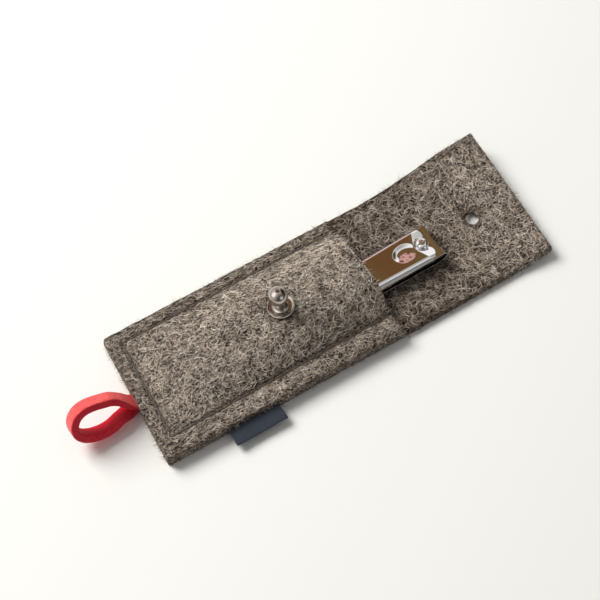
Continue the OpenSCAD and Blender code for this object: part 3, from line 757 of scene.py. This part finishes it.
pocket_stitches = sewn("pocket_stitches", pocket_rows(
    lambda x, y: 2 * FELT - SEAM_DEPTH + THREAD_IN_POCKET_GROOVE, 1))
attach(pocket_stitches, "case")
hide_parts("needle_thread")
pocket_back_stitches = sewn("pocket_back_stitches", pocket_rows(lambda x, y: THREAD_UNDERNEATH, -1))
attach(pocket_back_stitches, "case")
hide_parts("bobbin_thread")
flap_stitches = sewn("flap_stitches", flap_rows(lambda x, y: FELT - THREAD_IN_FLAP + flap_curl(x, y), 1))
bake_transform(flap_stitches, "flap", "case", start=fold_end, end=fold_start)
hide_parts("flap_needle_thread", "bend_thread")
flap_back_stitches = sewn("flap_back_stitches", flap_rows(
    lambda x, y: THREAD_UNDERNEATH + flap_curl(x, y), -1))
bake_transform(flap_back_stitches, "flap", "case", start=fold_end, end=fold_start)
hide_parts("flap_bobbin_thread")


# Hanging loop
# A band of red leather, folded back on itself and sewn into the closed end. Its finished face turns
# outwards.
# The cut edges and the fleshy inner face are a deeper red, and both ends are pared thin. The two reds are
# partly the leather's own two sides and partly painted light and shade: the lit outer face lighter, the rest
# darker.
LOOP_WIDTH = 6.0
LOOP_THICKNESS = 2.9
LOOP_REACH = 25.0
LOOP_HALF = 6.0
LOOP_Y = -0.4
LOOP_LEAN = 31.0
LOOP_RISE = 6.7
LOOP_CORNER = 0.42
LOOP_FULLNESS = 1.3
LOOP_FIRST_RISE = 0.78
LOOP_LATER_RISE = 0.22
LOOP_DRIFT = 0.07
LOOP_DRIFT_BACK = 0.77
LOOP_DENTS = 0.05
TAIL_THICKNESS = 1.4
TAIL_GAP = 0.05
TAIL_MIDDLE = (TAIL_THICKNESS + TAIL_GAP) / 2
TAIL_PLACES = (-7.8, -3, -1)
# The grain colours hold painted light and the flesh colours hold painted shade, over the leather's own two
# sides
GRAIN_LIT_DARK = (0.52, 0.014, 0.022, 1)
GRAIN_LIT_LIGHT = (0.90, 0.11, 0.10, 1)
FLESH_SHADED_DARK = (0.50, 0.005, 0.020, 1)
FLESH_SHADED_LIGHT = (0.80, 0.022, 0.05, 1)
DYE_CLOUD = (0.55, 0.01, 0.025, 1)


def loop_line(turn):
    """The band's middle line in the loop's own plane, for a turn from -180 to 180 degrees round it."""
    half = math.radians(turn) / 2
    out = LOOP_REACH * (1 + math.cos(2 * half)) / 2 - LOOP_THICKNESS / 2 * math.cos(half)
    stack = TAIL_MIDDLE * (1 - ease(out, -0.5, 7.5))
    up = LOOP_HALF * LOOP_FULLNESS * math.sin(2 * half) * math.cos(half)
    return Vector((out, up + math.copysign(stack, turn)))


def loop_section(thickness):
    """The band's cross-section: (across, outwards, share of finished face) round a rounded rectangle."""
    wide, thick, r = LOOP_WIDTH / 2, thickness / 2, LOOP_CORNER
    points = []
    for side, face, first in ((1, 1, 0), (-1, 1, 90), (-1, -1, 180), (1, -1, 270)):
        for k in range(5):
            angle = math.radians(first + 90 * k / 4)
            points.append((side * (wide - r) + r * math.cos(angle),
                           face * (thick - r) + r * math.sin(angle)))
        if side == face:
            points += [(side * wide * s, face * thick) for s in (0.45, 0.0, -0.45)]
    return [(a, b, ease(b, thick - 0.9 * r, thick - 0.25 * r)) for a, b in points]


loop_path = [Vector((x, -TAIL_MIDDLE)) for x in TAIL_PLACES]
loop_path += [loop_line(turn) for turn in range(-174, 175, 2) if turn != 0]
loop_path += [Vector((x, TAIL_MIDDLE)) for x in reversed(TAIL_PLACES)]
loop_points, loop_skin = [], []
for i, place in enumerate(loop_path):
    run = (loop_path[min(i + 1, len(loop_path) - 1)] - loop_path[max(i - 1, 0)]).normalized()
    outward = Vector((run.y, -run.x))
    out = place.x
    tilt = math.radians(LOOP_LEAN * ease(out, 0, 7))
    middle_z = FELT + LOOP_RISE * (LOOP_FIRST_RISE * ease(out, 0, 9) + LOOP_LATER_RISE * ease(out, 10, 22))
    middle_y = LOOP_Y - LOOP_DRIFT * max(0.0, out) + LOOP_DRIFT_BACK * ease(out, 8, 22)
    thickness = TAIL_THICKNESS + (LOOP_THICKNESS - TAIL_THICKNESS) * ease(out, 0.3, 4.3)
    for across, thick, skin in loop_section(thickness):
        dent = LOOP_DENTS * noise.noise(Vector((i * 0.35, across * 0.8, thick)))
        a, b = place.x + outward.x * (thick + dent), place.y + outward.y * (thick + dent)
        loop_points.append((sewn_x(LOOP_Y) - a, middle_y + b * math.sin(tilt) + across * math.cos(tilt),
                            middle_z + b * math.cos(tilt) - across * math.sin(tilt)))
        loop_skin.append(skin)
loop_faces = tube_faces(len(loop_path), len(loop_points) // len(loop_path))
loop_mesh = mesh_in_mm("hanging_band", loop_points, loop_faces)
loop_mesh.attributes.new("finished_face", "FLOAT", "POINT").data.foreach_set("value", loop_skin)


def red_leather():
    wire = Wiring(bpy.data.materials.new("red_leather"))
    place = wire.in_mm(wire.own_place())
    finished = wire.put("ShaderNodeAttribute", attribute_name="finished_face").outputs["Fac"]
    pores = wire.put("ShaderNodeTexVoronoi", {"Vector": place, "Scale": 2.3}).outputs["Distance"]
    flesh = wire.noise(place, 2.6, 4.0, 0.7)
    cloudy = wire.noise(place, 0.4, 3.0, 0.6)
    # The finished face is painted lighter, and the cut edges and inner face darker, partly for the light and
    # shade on them
    lit_grain = wire.mix(wire.between(pores, 0.12, 0.5), GRAIN_LIT_DARK, GRAIN_LIT_LIGHT)
    shaded_flesh = wire.mix(wire.between(flesh, 0.35, 0.65), FLESH_SHADED_DARK, FLESH_SHADED_LIGHT)
    colour = wire.mix(finished, shaded_flesh, lit_grain)
    colour = wire.mix(wire.between(cloudy, 0.38, 0.62, 0.0, 0.35), colour, DYE_CLOUD)
    relief = wire.math("ADD", wire.math("MULTIPLY", pores, 0.8), wire.math("MULTIPLY", flesh, 0.5))
    return wire.finish({
        "Base Color": colour, "Roughness": wire.between(finished, 0.0, 1.0, 0.85, 0.42),
        "Normal": wire.bump(relief, 0.9, 0.25), "Specular IOR Level": 0.45,
        "Sheen Weight": 0.12, "Sheen Roughness": 0.4, "Sheen Tint": (1.0, 0.6, 0.6, 1)})


hanging_band = add_piece("hanging_band", loop_mesh, red_leather())
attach(hanging_band, "case")
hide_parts("hanging_loop")


# Side label
# A fine ribbon in dark slate, folded double over its outer edge. Both of its ends are caught in the near
# seam, between the two felts. Its face is left bare.
LABEL_NEAR = -52.3
LABEL_LENGTH = 20.2
LABEL_OUT = -33.2
LABEL_IN = -20.9
LABEL_WAVE_START = -27.0
LABEL_WAVE = 0.16
LABEL_WAVE_TURN = 0.42
LABEL_CREASE = 0.1
LABEL_COLUMNS = 36
RIBBON = 0.34
RIBBON_GAP = 0.10
RIBBON_FOLD = 0.45
RIBBON_STEPS = 14
RIBBON_DARK = (0.014, 0.019, 0.030, 1)
RIBBON_LIGHT = (0.034, 0.042, 0.056, 1)
RIBBON_FLUFF = (0.06, 0.07, 0.09, 1)
# The folded ribbon's middle line as (y, side of the fold, bow out of it): out above, round, and back below
outwards = [LABEL_IN + (LABEL_OUT + 0.6 - LABEL_IN) * k / RIBBON_STEPS for k in range(RIBBON_STEPS + 1)]
ribbon_path = [(y, 1.0, 0.0) for y in outwards]
for k in range(9):
    angle = math.radians(90 + 180 * k / 8)
    y = LABEL_OUT + RIBBON_FOLD + RIBBON_FOLD * math.cos(angle)
    ribbon_path.append((y, math.sin(angle), math.cos(angle)))
ribbon_path += [(y, -1.0, 0.0) for y in reversed(outwards)]
label_points = []
for i in range(LABEL_COLUMNS + 1):
    x = LABEL_NEAR - LABEL_LENGTH * i / LABEL_COLUMNS
    for layer in (1, -1):
        for y, side, bow in ribbon_path:
            out_share = ease(y, LABEL_WAVE_START, LABEL_OUT) if y < LABEL_WAVE_START else 0.0
            crease = noise.noise(Vector((x * 0.3, y * 0.3, 2)))
            wave = LABEL_WAVE * out_share * math.sin(x * LABEL_WAVE_TURN) + LABEL_CREASE * out_share * crease
            half = (RIBBON_GAP / 2 + RIBBON / 2) * side + layer * RIBBON / 2 * side
            fold = layer * RIBBON / 2 * bow
            label_points.append((x, y + fold, FELT + half + wave))
ring = len(ribbon_path)
label_faces = []
for i in range(LABEL_COLUMNS):
    a = i * 2 * ring
    b = a + 2 * ring
    for j in range(ring - 1):
        label_faces.append((a + j, a + j + 1, b + j + 1, b + j))
        label_faces.append((a + ring + j, b + ring + j, b + ring + j + 1, a + ring + j + 1))
    for j in (0, ring - 1):
        label_faces.append((a + j, b + j, b + ring + j, a + ring + j))
for a in (0, LABEL_COLUMNS * 2 * ring):
    label_faces += [(a + j, a + ring + j, a + ring + j + 1, a + j + 1) for j in range(ring - 1)]
label_mesh = mesh_in_mm("bare_label", label_points, label_faces)
work = bmesh.new()
work.from_mesh(label_mesh)
bmesh.ops.recalc_face_normals(work, faces=work.faces)
work.to_mesh(label_mesh)
work.free()


def slate_ribbon():
    wire = Wiring(bpy.data.materials.new("slate_ribbon"))
    place = wire.in_mm(wire.own_place())
    warp, weft = [wire.put("ShaderNodeTexWave", {
        "Vector": place, "Scale": scale, "Distortion": 0.35, "Detail": 1.0},
        wave_type="BANDS", bands_direction=way).outputs[1] for way, scale in (("X", 1.1), ("Y", 0.8))]
    weave = wire.math("MULTIPLY", wire.math("ADD", warp, weft), 0.5)
    fluff = wire.noise(place, 3.0, 3.0, 0.7)
    colour = wire.mix(wire.between(weave, 0.2, 0.8), RIBBON_DARK, RIBBON_LIGHT)
    colour = wire.mix(wire.between(fluff, 0.45, 0.7, 0.0, 0.4), colour, RIBBON_FLUFF)
    return wire.finish({"Base Color": colour, "Roughness": 0.7, "Normal": wire.bump(weave, 0.5, 0.08),
                        "Sheen Weight": 0.15})


bare_label = add_piece("bare_label", label_mesh, slate_ribbon())
bare_label.data.set_sharp_from_angle(angle=math.radians(50))
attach(bare_label, "case")
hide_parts("side_label")


# Ball stud and its screw
# A turned ball on a waisted neck and a flange, plated in dark gunmetal. A flat slotted screw holds it
# from inside the pocket, with the felt clamped between.
MERGE_REACH = 0.003
FLAT_ANGLE = math.radians(0.8)
SHARP_ANGLE = math.radians(30)
SHADED_ANGLE = math.radians(40)


def plated(name, colour, roughness):
    """Polished plating, with faint smears where its gloss changes."""
    wire = Wiring(bpy.data.materials.new(name))
    smears = wire.noise(wire.own_place(), 900.0, 3.0, 0.6)
    rough = wire.between(smears, 0.3, 0.75, roughness * 0.7, roughness * 1.5)
    return wire.finish({"Base Color": colour, "Metallic": 1.0, "Roughness": rough})


def eased_copy(name, node_name, material, body, bevel):
    """A copy of a CAD piece with its sharp edges broken, as tumbling and plating leave them."""
    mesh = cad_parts[node_name].data.copy()
    mesh.name = name
    mesh.materials.clear()
    for stale in [a.name for a in mesh.attributes if a.name.startswith("custom_normal")]:
        mesh.attributes.remove(mesh.attributes[stale])
    work = bmesh.new()
    work.from_mesh(mesh)
    bmesh.ops.remove_doubles(work, verts=work.verts, dist=MERGE_REACH * MM)
    bmesh.ops.dissolve_limit(work, angle_limit=FLAT_ANGLE, verts=work.verts, edges=work.edges)
    for face in work.faces:
        face.smooth = True
    sharp = [e for e in work.edges if len(e.link_faces) == 2 and e.calc_face_angle(0) > SHARP_ANGLE]
    bmesh.ops.bevel(work, geom=sharp, offset=bevel * MM, offset_type="OFFSET", segments=2, profile=0.5,
                    affect="EDGES", clamp_overlap=True)
    for edge in work.edges:
        edge.smooth = len(edge.link_faces) != 2 or edge.calc_face_angle(0) < SHADED_ANGLE
    work.to_mesh(mesh)
    work.free()
    piece = add_piece(name, mesh, material, smooth=False)
    piece.modifiers.new("even_shading", "WEIGHTED_NORMAL").keep_sharp = True
    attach(piece, body)
    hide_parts(node_name)


gunmetal = plated("gunmetal_plate", (0.44, 0.40, 0.36, 1), 0.15)
eased_copy("gunmetal_screw", "stud_screw", gunmetal, "case", 0.1)
BALL_RADIUS = 3.65
BALL_HEIGHT = 7.55
BALL_ARCS = 36
NECK_RADIUS = 1.8
TURNING_STEPS = 96
# The stud's outline as (radius, height) in mm: the screw's bore, the flange with a raised rim, and the neck
stud_outline = [
    (0, 4.2), (1.25, 4.2), (1.25, 0.02), (4.55, 0.02), (4.88, 0.12), (5.0, 0.35), (5.0, 0.72), (4.93, 0.88),
    (4.78, 0.95), (4.62, 0.91), (4.5, 0.8), (4.38, 0.69), (4.2, 0.62), (3.9, 0.6), (2.9, 0.6), (2.6, 0.64),
    (2.3, 0.8), (2.08, 1.05), (1.92, 1.5), (1.82, 2.1), (NECK_RADIUS, 2.8)]
ball_start = math.asin(NECK_RADIUS / BALL_RADIUS) - math.pi / 2
for k in range(BALL_ARCS):
    angle = ball_start + (math.pi / 2 - ball_start) * k / BALL_ARCS
    stud_outline.append((BALL_RADIUS * math.cos(angle), BALL_HEIGHT + BALL_RADIUS * math.sin(angle)))
stud_outline.append((0, BALL_HEIGHT + BALL_RADIUS))


def turned(name, outline, seat, axis):
    """A lathe-turned solid about a leaning axis. The outline starts and ends on the axis."""
    side = axis.orthogonal().normalized()
    other = axis.cross(side)
    work = bmesh.new()
    rings = []
    for radius, height in outline:
        middle = seat + axis * height
        steps = TURNING_STEPS if radius > 0 else 1
        rings.append([work.verts.new((middle + side * (radius * math.cos(2 * math.pi * j / steps))
                                      + other * (radius * math.sin(2 * math.pi * j / steps))) * MM)
                      for j in range(steps)])
    for low, high in zip(rings, rings[1:]):
        for j in range(TURNING_STEPS):
            after = (j + 1) % TURNING_STEPS
            corners = [low[j % len(low)], low[after % len(low)],
                       high[after % len(high)], high[j % len(high)]]
            work.faces.new(list(dict.fromkeys(corners)))
    bmesh.ops.recalc_face_normals(work, faces=work.faces)
    mesh = bpy.data.meshes.new(name)
    work.to_mesh(mesh)
    work.free()
    return mesh


stud_axis = Vector((-STUD_TIP_X, STUD_TIP_Y, 1)).normalized()
gunmetal_stud = add_piece("gunmetal_stud", turned("gunmetal_stud", stud_outline, STUD, stud_axis), gunmetal)
gunmetal_stud.data.set_sharp_from_angle(angle=SHADED_ANGLE)
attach(gunmetal_stud, "case")
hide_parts("ball_stud")


# Nail clipper
# Two spring steel leaves riveted at the rear, with ground cutting edges at the front. A pin with a notched
# head goes up through both, to hold the lever. All of it is plated in bright chrome.
chrome = plated("chrome_plate", (0.86, 0.86, 0.86, 1), 0.05)
eased_copy("lower_leaf", "clipper_lower_leaf", chrome, "clipper", 0.3)
eased_copy("upper_leaf", "clipper_upper_leaf", chrome, "clipper_upper", 0.2)
eased_copy("notched_pin", "clipper_pin", chrome, "clipper", 0.1)
eased_copy("rear_rivet", "clipper_rivet", chrome, "clipper", 0.1)


# Clipper lever
# One strip of steel pressed into a shallow channel. Its fork straddles the pin, whose head sits in a round
# seat. The ears slope down to the leaf, and an oval dish behind them takes the thumb.
LEVER_PIN = Vector((23.6, -3.25, 8.9915))
LEVER_TILT = math.radians(2.4366)
LEVER_REAR = -57.5
LEVER_FRONT = 0.35
LEVER_HALF = 6.6
LEVER_TAIL_HALF = 5.3
LEVER_TAIL_LENGTH = 4
LEVER_TAPER_LENGTH = 53.9
LEVER_HEIGHT = 2.0
LEVER_SHEET = 1.0
LEVER_BEND = 1.05
INNER_BEND = 0.25
WALL_FOOT = 0.9
SLOT_HALF = 1.45
EAR_RADIUS = (LEVER_HALF - SLOT_HALF) / 2
EAR_FOLD_MIDDLE = -3.9
EAR_FOLD_SPREAD = 3.2
EAR_SLOPE = 0.21
SEAT_RADIUS = 2.75
SEAT_DEPTH = 0.78
SEAT_WALL = 0.24
DISH = Vector((-7.4, 0.0))
DISH_SIZE = Vector((5.0, 3.9))
DISH_DEPTH = 0.7
DISH_TO_REAR = 0.35
DISH_TO_FAR = 0.6
DISH_PEAK = 1.2
LEVER_EDGE_RADIUS = 0.2
INNER_PRESS = 0.9


def lever_press(x, y):
    """How deep the lever's top is pressed in: the sloping ears, the pin's seat and the thumb dish."""
    past = x - (EAR_FOLD_MIDDLE + EAR_FOLD_SPREAD * min(1.0, abs(y) / LEVER_HALF))
    slope = EAR_SLOPE * (past + math.sqrt(past * past + 0.05)) / 2
    a, b = (x - DISH.x) / DISH_SIZE.x, (y - DISH.y) / DISH_SIZE.y
    q = math.hypot(a, b)
    lean = 1 - DISH_TO_REAR * a + DISH_TO_FAR * b
    dish = DISH_DEPTH * (1 - q ** 3) ** 1.4 * lean / DISH_PEAK if q < 1 else 0.0
    seat = ease(SEAT_RADIUS + SEAT_WALL / 2 - math.hypot(x, y), 0, SEAT_WALL)
    pressed = max(slope, dish)
    return pressed + (SEAT_DEPTH - pressed) * seat if SEAT_DEPTH > pressed else pressed


def lever_end(y):
    """Where the sheet ends at the front: round the slot, and round each ear."""
    y = abs(y)
    if y < SLOT_HALF:
        return -math.sqrt(SLOT_HALF ** 2 - y * y)
    return LEVER_FRONT + math.sqrt(max(0.0, EAR_RADIUS ** 2 - (y - SLOT_HALF - EAR_RADIUS) ** 2))


def lever_back(y):
    """Where the sheet ends at the rear, with its corners cut away."""
    y = abs(y)
    return LEVER_REAR + 1.0 * ease(y, 2.0, 4.4) + 3.0 * ease(y, 4.2, 5.4)


def lever_taper(x):
    """The lever's width as a share of its greatest, narrower towards the tail."""
    share = min(1.0, max(0.0, (x - LEVER_REAR - LEVER_TAIL_LENGTH) / LEVER_TAPER_LENGTH))
    return (LEVER_TAIL_HALF + (LEVER_HALF - LEVER_TAIL_HALF) * share) / LEVER_HALF


def lever_columns():
    """(outer y, outer z, inner y, inner z) across the channel, at its full width."""
    wall = [(-LEVER_HALF, z, LEVER_SHEET - LEVER_HALF, z)
            for z in (0.0, 0.06, 0.2, 0.5, 0.8, LEVER_HEIGHT - LEVER_BEND - 0.1)]
    bend = []
    for k in range(9):
        angle = math.radians(180 - 90 * k / 8)
        outer = (LEVER_BEND * math.cos(angle), LEVER_BEND * math.sin(angle))
        inner = (INNER_BEND * math.cos(angle), INNER_BEND * math.sin(angle))
        bend.append((LEVER_BEND - LEVER_HALF + outer[0], LEVER_HEIGHT - LEVER_BEND + outer[1],
                     LEVER_SHEET + INNER_BEND - LEVER_HALF + inner[0],
                     LEVER_HEIGHT - LEVER_SHEET - INNER_BEND + inner[1]))
    low, high = LEVER_BEND - LEVER_HALF, -SLOT_HALF
    ear = [low + (high - low) * (1 - math.cos(math.pi * k / 22)) / 2 for k in range(1, 22)]
    slot = [high - 0.02, high + 0.005] + [high * math.cos(math.pi / 2 * k / 9) for k in range(1, 9)]
    inner_start = LEVER_SHEET + INNER_BEND - LEVER_HALF + 0.01
    flat = [(y, LEVER_HEIGHT, max(y, inner_start), LEVER_HEIGHT - LEVER_SHEET) for y in sorted(ear + slot)]
    half_way = wall + bend + flat
    mirrored = [(-a, b, -c, d) for a, b, c, d in reversed(half_way)]
    return half_way + [(0.0, LEVER_HEIGHT, 0.0, LEVER_HEIGHT - LEVER_SHEET)] + mirrored


def lever_place(x, y, z):
    """A point of the lever, turned from its own axes at the pin into the case's."""
    z = max(z, 0.0)
    return (LEVER_PIN.x + x * math.cos(LEVER_TILT) - z * math.sin(LEVER_TILT), LEVER_PIN.y + y,
            LEVER_PIN.z + x * math.sin(LEVER_TILT) + z * math.cos(LEVER_TILT))


# Rows along the lever, as shares of its length: close at both ends and under the pressed front
lever_rows = [0.0, 0.001, 0.003]
lever_rows += [0.01 + 0.7 * k / 40 for k in range(40)]
lever_rows += [0.715 + 0.275 * k / 74 for k in range(75)]
lever_rows += [0.993, 0.9965, 0.9985, 1.0]


def lever_points(share, column):
    """A point of the lever's outer face, and the one below it on its inner face."""
    y, z, inner_y, inner_z = column
    start, end = lever_back(y), lever_end(y)
    x = start + (end - start) * share
    taper = lever_taper(x)
    edge = edge_round(min(1 - share, share) * (end - start), LEVER_EDGE_RADIUS)
    fold_share = ease(z, WALL_FOOT, LEVER_HEIGHT)
    press = lever_press(x, y * taper) * fold_share
    return (lever_place(x, y * taper, z - press - edge * fold_share),
            lever_place(x, inner_y * taper, inner_z - press * INNER_PRESS))


lever_mesh = slab("press_lever", lever_rows, lever_columns(), lever_points)
press_lever = add_piece("press_lever", lever_mesh, chrome)
press_lever.data.set_sharp_from_angle(angle=math.radians(38))
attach(press_lever, "clipper")
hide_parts("clipper_lever")


# Loose wool
# Felt is cut, not woven, so fibre ends stand out of every cut edge, and long pale and dark hairs lie loose
# on its faces. They are single hairs, each bent its own way.
HAIR_SIDES = 3
LYING_RINGS = 7
EDGE_RINGS = 4
LYING_HEIGHT = 0.06
LYING_LENGTHS = (2.5, 8.0)
LYING_BOWS = (0.05, 0.22)
LYING_BEND = 0.45
LYING_WANDER = 0.3
EDGE_LENGTH = 0.65
EDGE_LONGEST = 1.8
EDGE_SWING = 0.7
EDGE_RISE = 0.45
EDGE_ROOT = 0.15
EDGE_RADII = (0.04, 0.09)
PALE_RADII = (0.055, 0.10)
DARK_RADII = (0.05, 0.09)
TABLE_GAP = 0.1
SINK = 0.02
CLIPPER_FRONT = 34
CLIPPER_SIDES = (-12, 6)
HOLE_CLEARING = 4.5
STUD_CLEARING = 7
FLANGE_CLEARING = 5.4
FLAP_HAIR_SIDE = 27
POCKET_HAIR_X = (-93, -0.5)
POCKET_HAIR_Y = (-26.5, 25.6)
wool_random = random.Random(41)


def lying_hair(x, y, height, radii):
    """A hair that wanders over the felt from a place, and sinks into it at both ends."""
    length = wool_random.uniform(*LYING_LENGTHS)
    radius = wool_random.uniform(*radii)
    heading = wool_random.uniform(0, 2 * math.pi)
    bend = wool_random.gauss(0, LYING_BEND)
    bow = wool_random.uniform(*LYING_BOWS)
    run = []
    for k in range(LYING_RINGS):
        t = k / (LYING_RINGS - 1)
        z = height(x, y) + bow * math.sin(math.pi * t) - SINK
        run.append(((x, y, z), radius * (1 - 0.6 * abs(2 * t - 1) ** 3), None))
        heading += bend + wool_random.gauss(0, LYING_WANDER)
        x += length / LYING_RINGS * math.cos(heading)
        y += length / LYING_RINGS * math.sin(heading)
    return run


def edge_hair(x, y, z, out_x, out_y):
    """A fibre end that stands out of a cut edge."""
    radius = wool_random.uniform(*EDGE_RADII)
    length = min(EDGE_LONGEST, wool_random.expovariate(1 / EDGE_LENGTH))
    swing = wool_random.gauss(0, EDGE_SWING)
    rise = wool_random.gauss(0, EDGE_RISE)
    run = []
    for k in range(EDGE_RINGS):
        t = k / (EDGE_RINGS - 1)
        reach = length * t - EDGE_ROOT
        side = length * 0.5 * swing * t * t
        run.append(((x + out_x * reach - out_y * side, y + out_y * reach + out_x * side,
                     max(TABLE_GAP, z + length * rise * t * t)), radius * (1 - 0.65 * t), None))
    return run


def on_strip(x, y):
    return FELT + flap_curl(x, y) + felt_bumps(x, y, STRIP_SEED) + LYING_HEIGHT


def on_pocket(x, y):
    return (2 * FELT + dome(x, y, 0) - stitch_dip(to_pocket_seam(x, y), SEAM_DEPTH)
            + felt_bumps(x, y, POCKET_SEED) + LYING_HEIGHT)


def stays_on_flap(x, y):
    return 0.6 < x < FLAP_END - 0.5 and abs(y) < FLAP_HAIR_SIDE


def stays_on_pocket(x, y):
    """Hairs keep off the seam, the stud's flange and every edge."""
    return (sewn_x(y) + 0.3 < x < mouth_x(y) - 0.2 and -26.6 < y < 25.8
            and to_pocket_seam(x, y) > 0.5 and from_stud(x, y) > FLANGE_CLEARING)


def strip_hairs(count, radii):
    """Hairs on the open flap. None starts under the clipper or at the hole."""
    runs = []
    while len(runs) < count:
        x = wool_random.uniform(1.5, FLAP_END)
        y = wool_random.uniform(-FLAP_HAIR_SIDE, FLAP_HAIR_SIDE)
        under_clipper = x < CLIPPER_FRONT and CLIPPER_SIDES[0] < y < CLIPPER_SIDES[1]
        at_hole = math.hypot(x - HOLE.x, y - HOLE.y) < HOLE_CLEARING
        if not under_clipper and not at_hole and x < flap_end_x(y) - 1:
            runs.append(lying_hair(x, y, on_strip, radii))
    return [r for r in runs if all(stays_on_flap(x, y) for (x, y, _), _, _ in r)]


def pocket_hairs(count, radii):
    runs = []
    while len(runs) < count:
        x, y = wool_random.uniform(*POCKET_HAIR_X), wool_random.uniform(*POCKET_HAIR_Y)
        if from_stud(x, y) > STUD_CLEARING and x > sewn_x(y) + 0.6:
            runs.append(lying_hair(x, y, on_pocket, radii))
    return [r for r in runs if all(stays_on_pocket(x, y) for (x, y, _), _, _ in r)]


def strip_edge_hairs(count):
    """Fibre ends on the strip's edges: 42 in 100 far, 30 near, and 14 at each end."""
    runs = []
    for _ in range(count):
        side = wool_random.random()
        share = wool_random.random()
        z_share = wool_random.uniform(0.05, 0.95)
        if side < 0.72:
            out = (0, 1) if side < 0.42 else (0, -1)
            x, y = strip_place(3 + share * 156, STRIP_WIDTH if side < 0.42 else 0)
        elif side < 0.86:
            out = (-1, 0)
            x, y = strip_place(0, 2 + share * (STRIP_WIDTH - 4))
        else:
            out = (1, 0)
            x, y = strip_place(STRIP_LENGTH, 1 + share * (STRIP_WIDTH - 2))
        runs.append(edge_hair(x, y, FELT * z_share + flap_curl(x, y), *out))
    return runs


def pocket_edge_hairs(count):
    """Fibre ends on the panel's edges: 35 in 100 far, 35 near, 12 at the sewn end and 18 at the mouth."""
    runs = []
    for _ in range(count):
        side = wool_random.random()
        share = wool_random.random()
        z_share = wool_random.random()
        z = 3.2 + 2.6 * z_share
        if side < 0.7:
            x = SEWN_END + 3 + share * 90
            y, out = (PANEL_FAR, (0, 1)) if side < 0.35 else (near_edge_y(x), (0, -1))
        elif side < 0.82:
            y = NEAR_EDGE + 3 + share * 50
            x, out = sewn_x(y), (-1, 0)
        else:
            y = NEAR_EDGE + 1 + share * 52
            x, out = mouth_x(y), (1, 0)
            z = FELT + dome(x - 0.05, y, 0) + FELT * z_share
        runs.append(edge_hair(x, y, z, *out))
    return runs


def loose_hair(name, low, high):
    wire = Wiring(bpy.data.materials.new(name))
    rest = wire.rest_place()
    shade = wire.between(wire.noise(rest, 420.0, 2.0, 0.6), 0.35, 0.65)
    x = wire.put("ShaderNodeSeparateXYZ", {0: wire.in_mm(rest)}).outputs[0]
    # Hairs beside the pocket's mouth take part of the felt's painted shadow there.
    mouth_shadow = wire.math("MULTIPLY", mouth_shadow_share(wire, x, 0.0), 0.45)
    colour = wire.mix(mouth_shadow, wire.mix(shade, low, high), WOOL_TONE_AND_SHADE, "MULTIPLY")
    return wire.finish({"Base Color": colour, "Roughness": 0.6, "Specular IOR Level": 0.3})


pale_hair = loose_hair("pale_wool_hair", WOOL_PALE, WOOL_WHITE)
dark_hair = loose_hair("dark_wool_hair", WOOL_BLACK, WOOL_BROWN)
for name, runs, material, crosses_fold in (
        ("pocket_pale_hairs", pocket_hairs(2400, PALE_RADII) + pocket_edge_hairs(700), pale_hair, False),
        ("pocket_dark_hairs", pocket_hairs(600, DARK_RADII) + pocket_edge_hairs(450), dark_hair, False),
        ("strip_pale_hairs", strip_hairs(1800, PALE_RADII) + strip_edge_hairs(1300), pale_hair, True),
        ("strip_dark_hairs", strip_hairs(500, DARK_RADII) + strip_edge_hairs(900), dark_hair, True)):
    hairs = add_piece(name, tube_mesh(name, runs, HAIR_SIDES), material)
    if crosses_fold:
        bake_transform(hairs, "flap", "case", start=fold_end, end=fold_start)
    else:
        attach(hairs, "case")
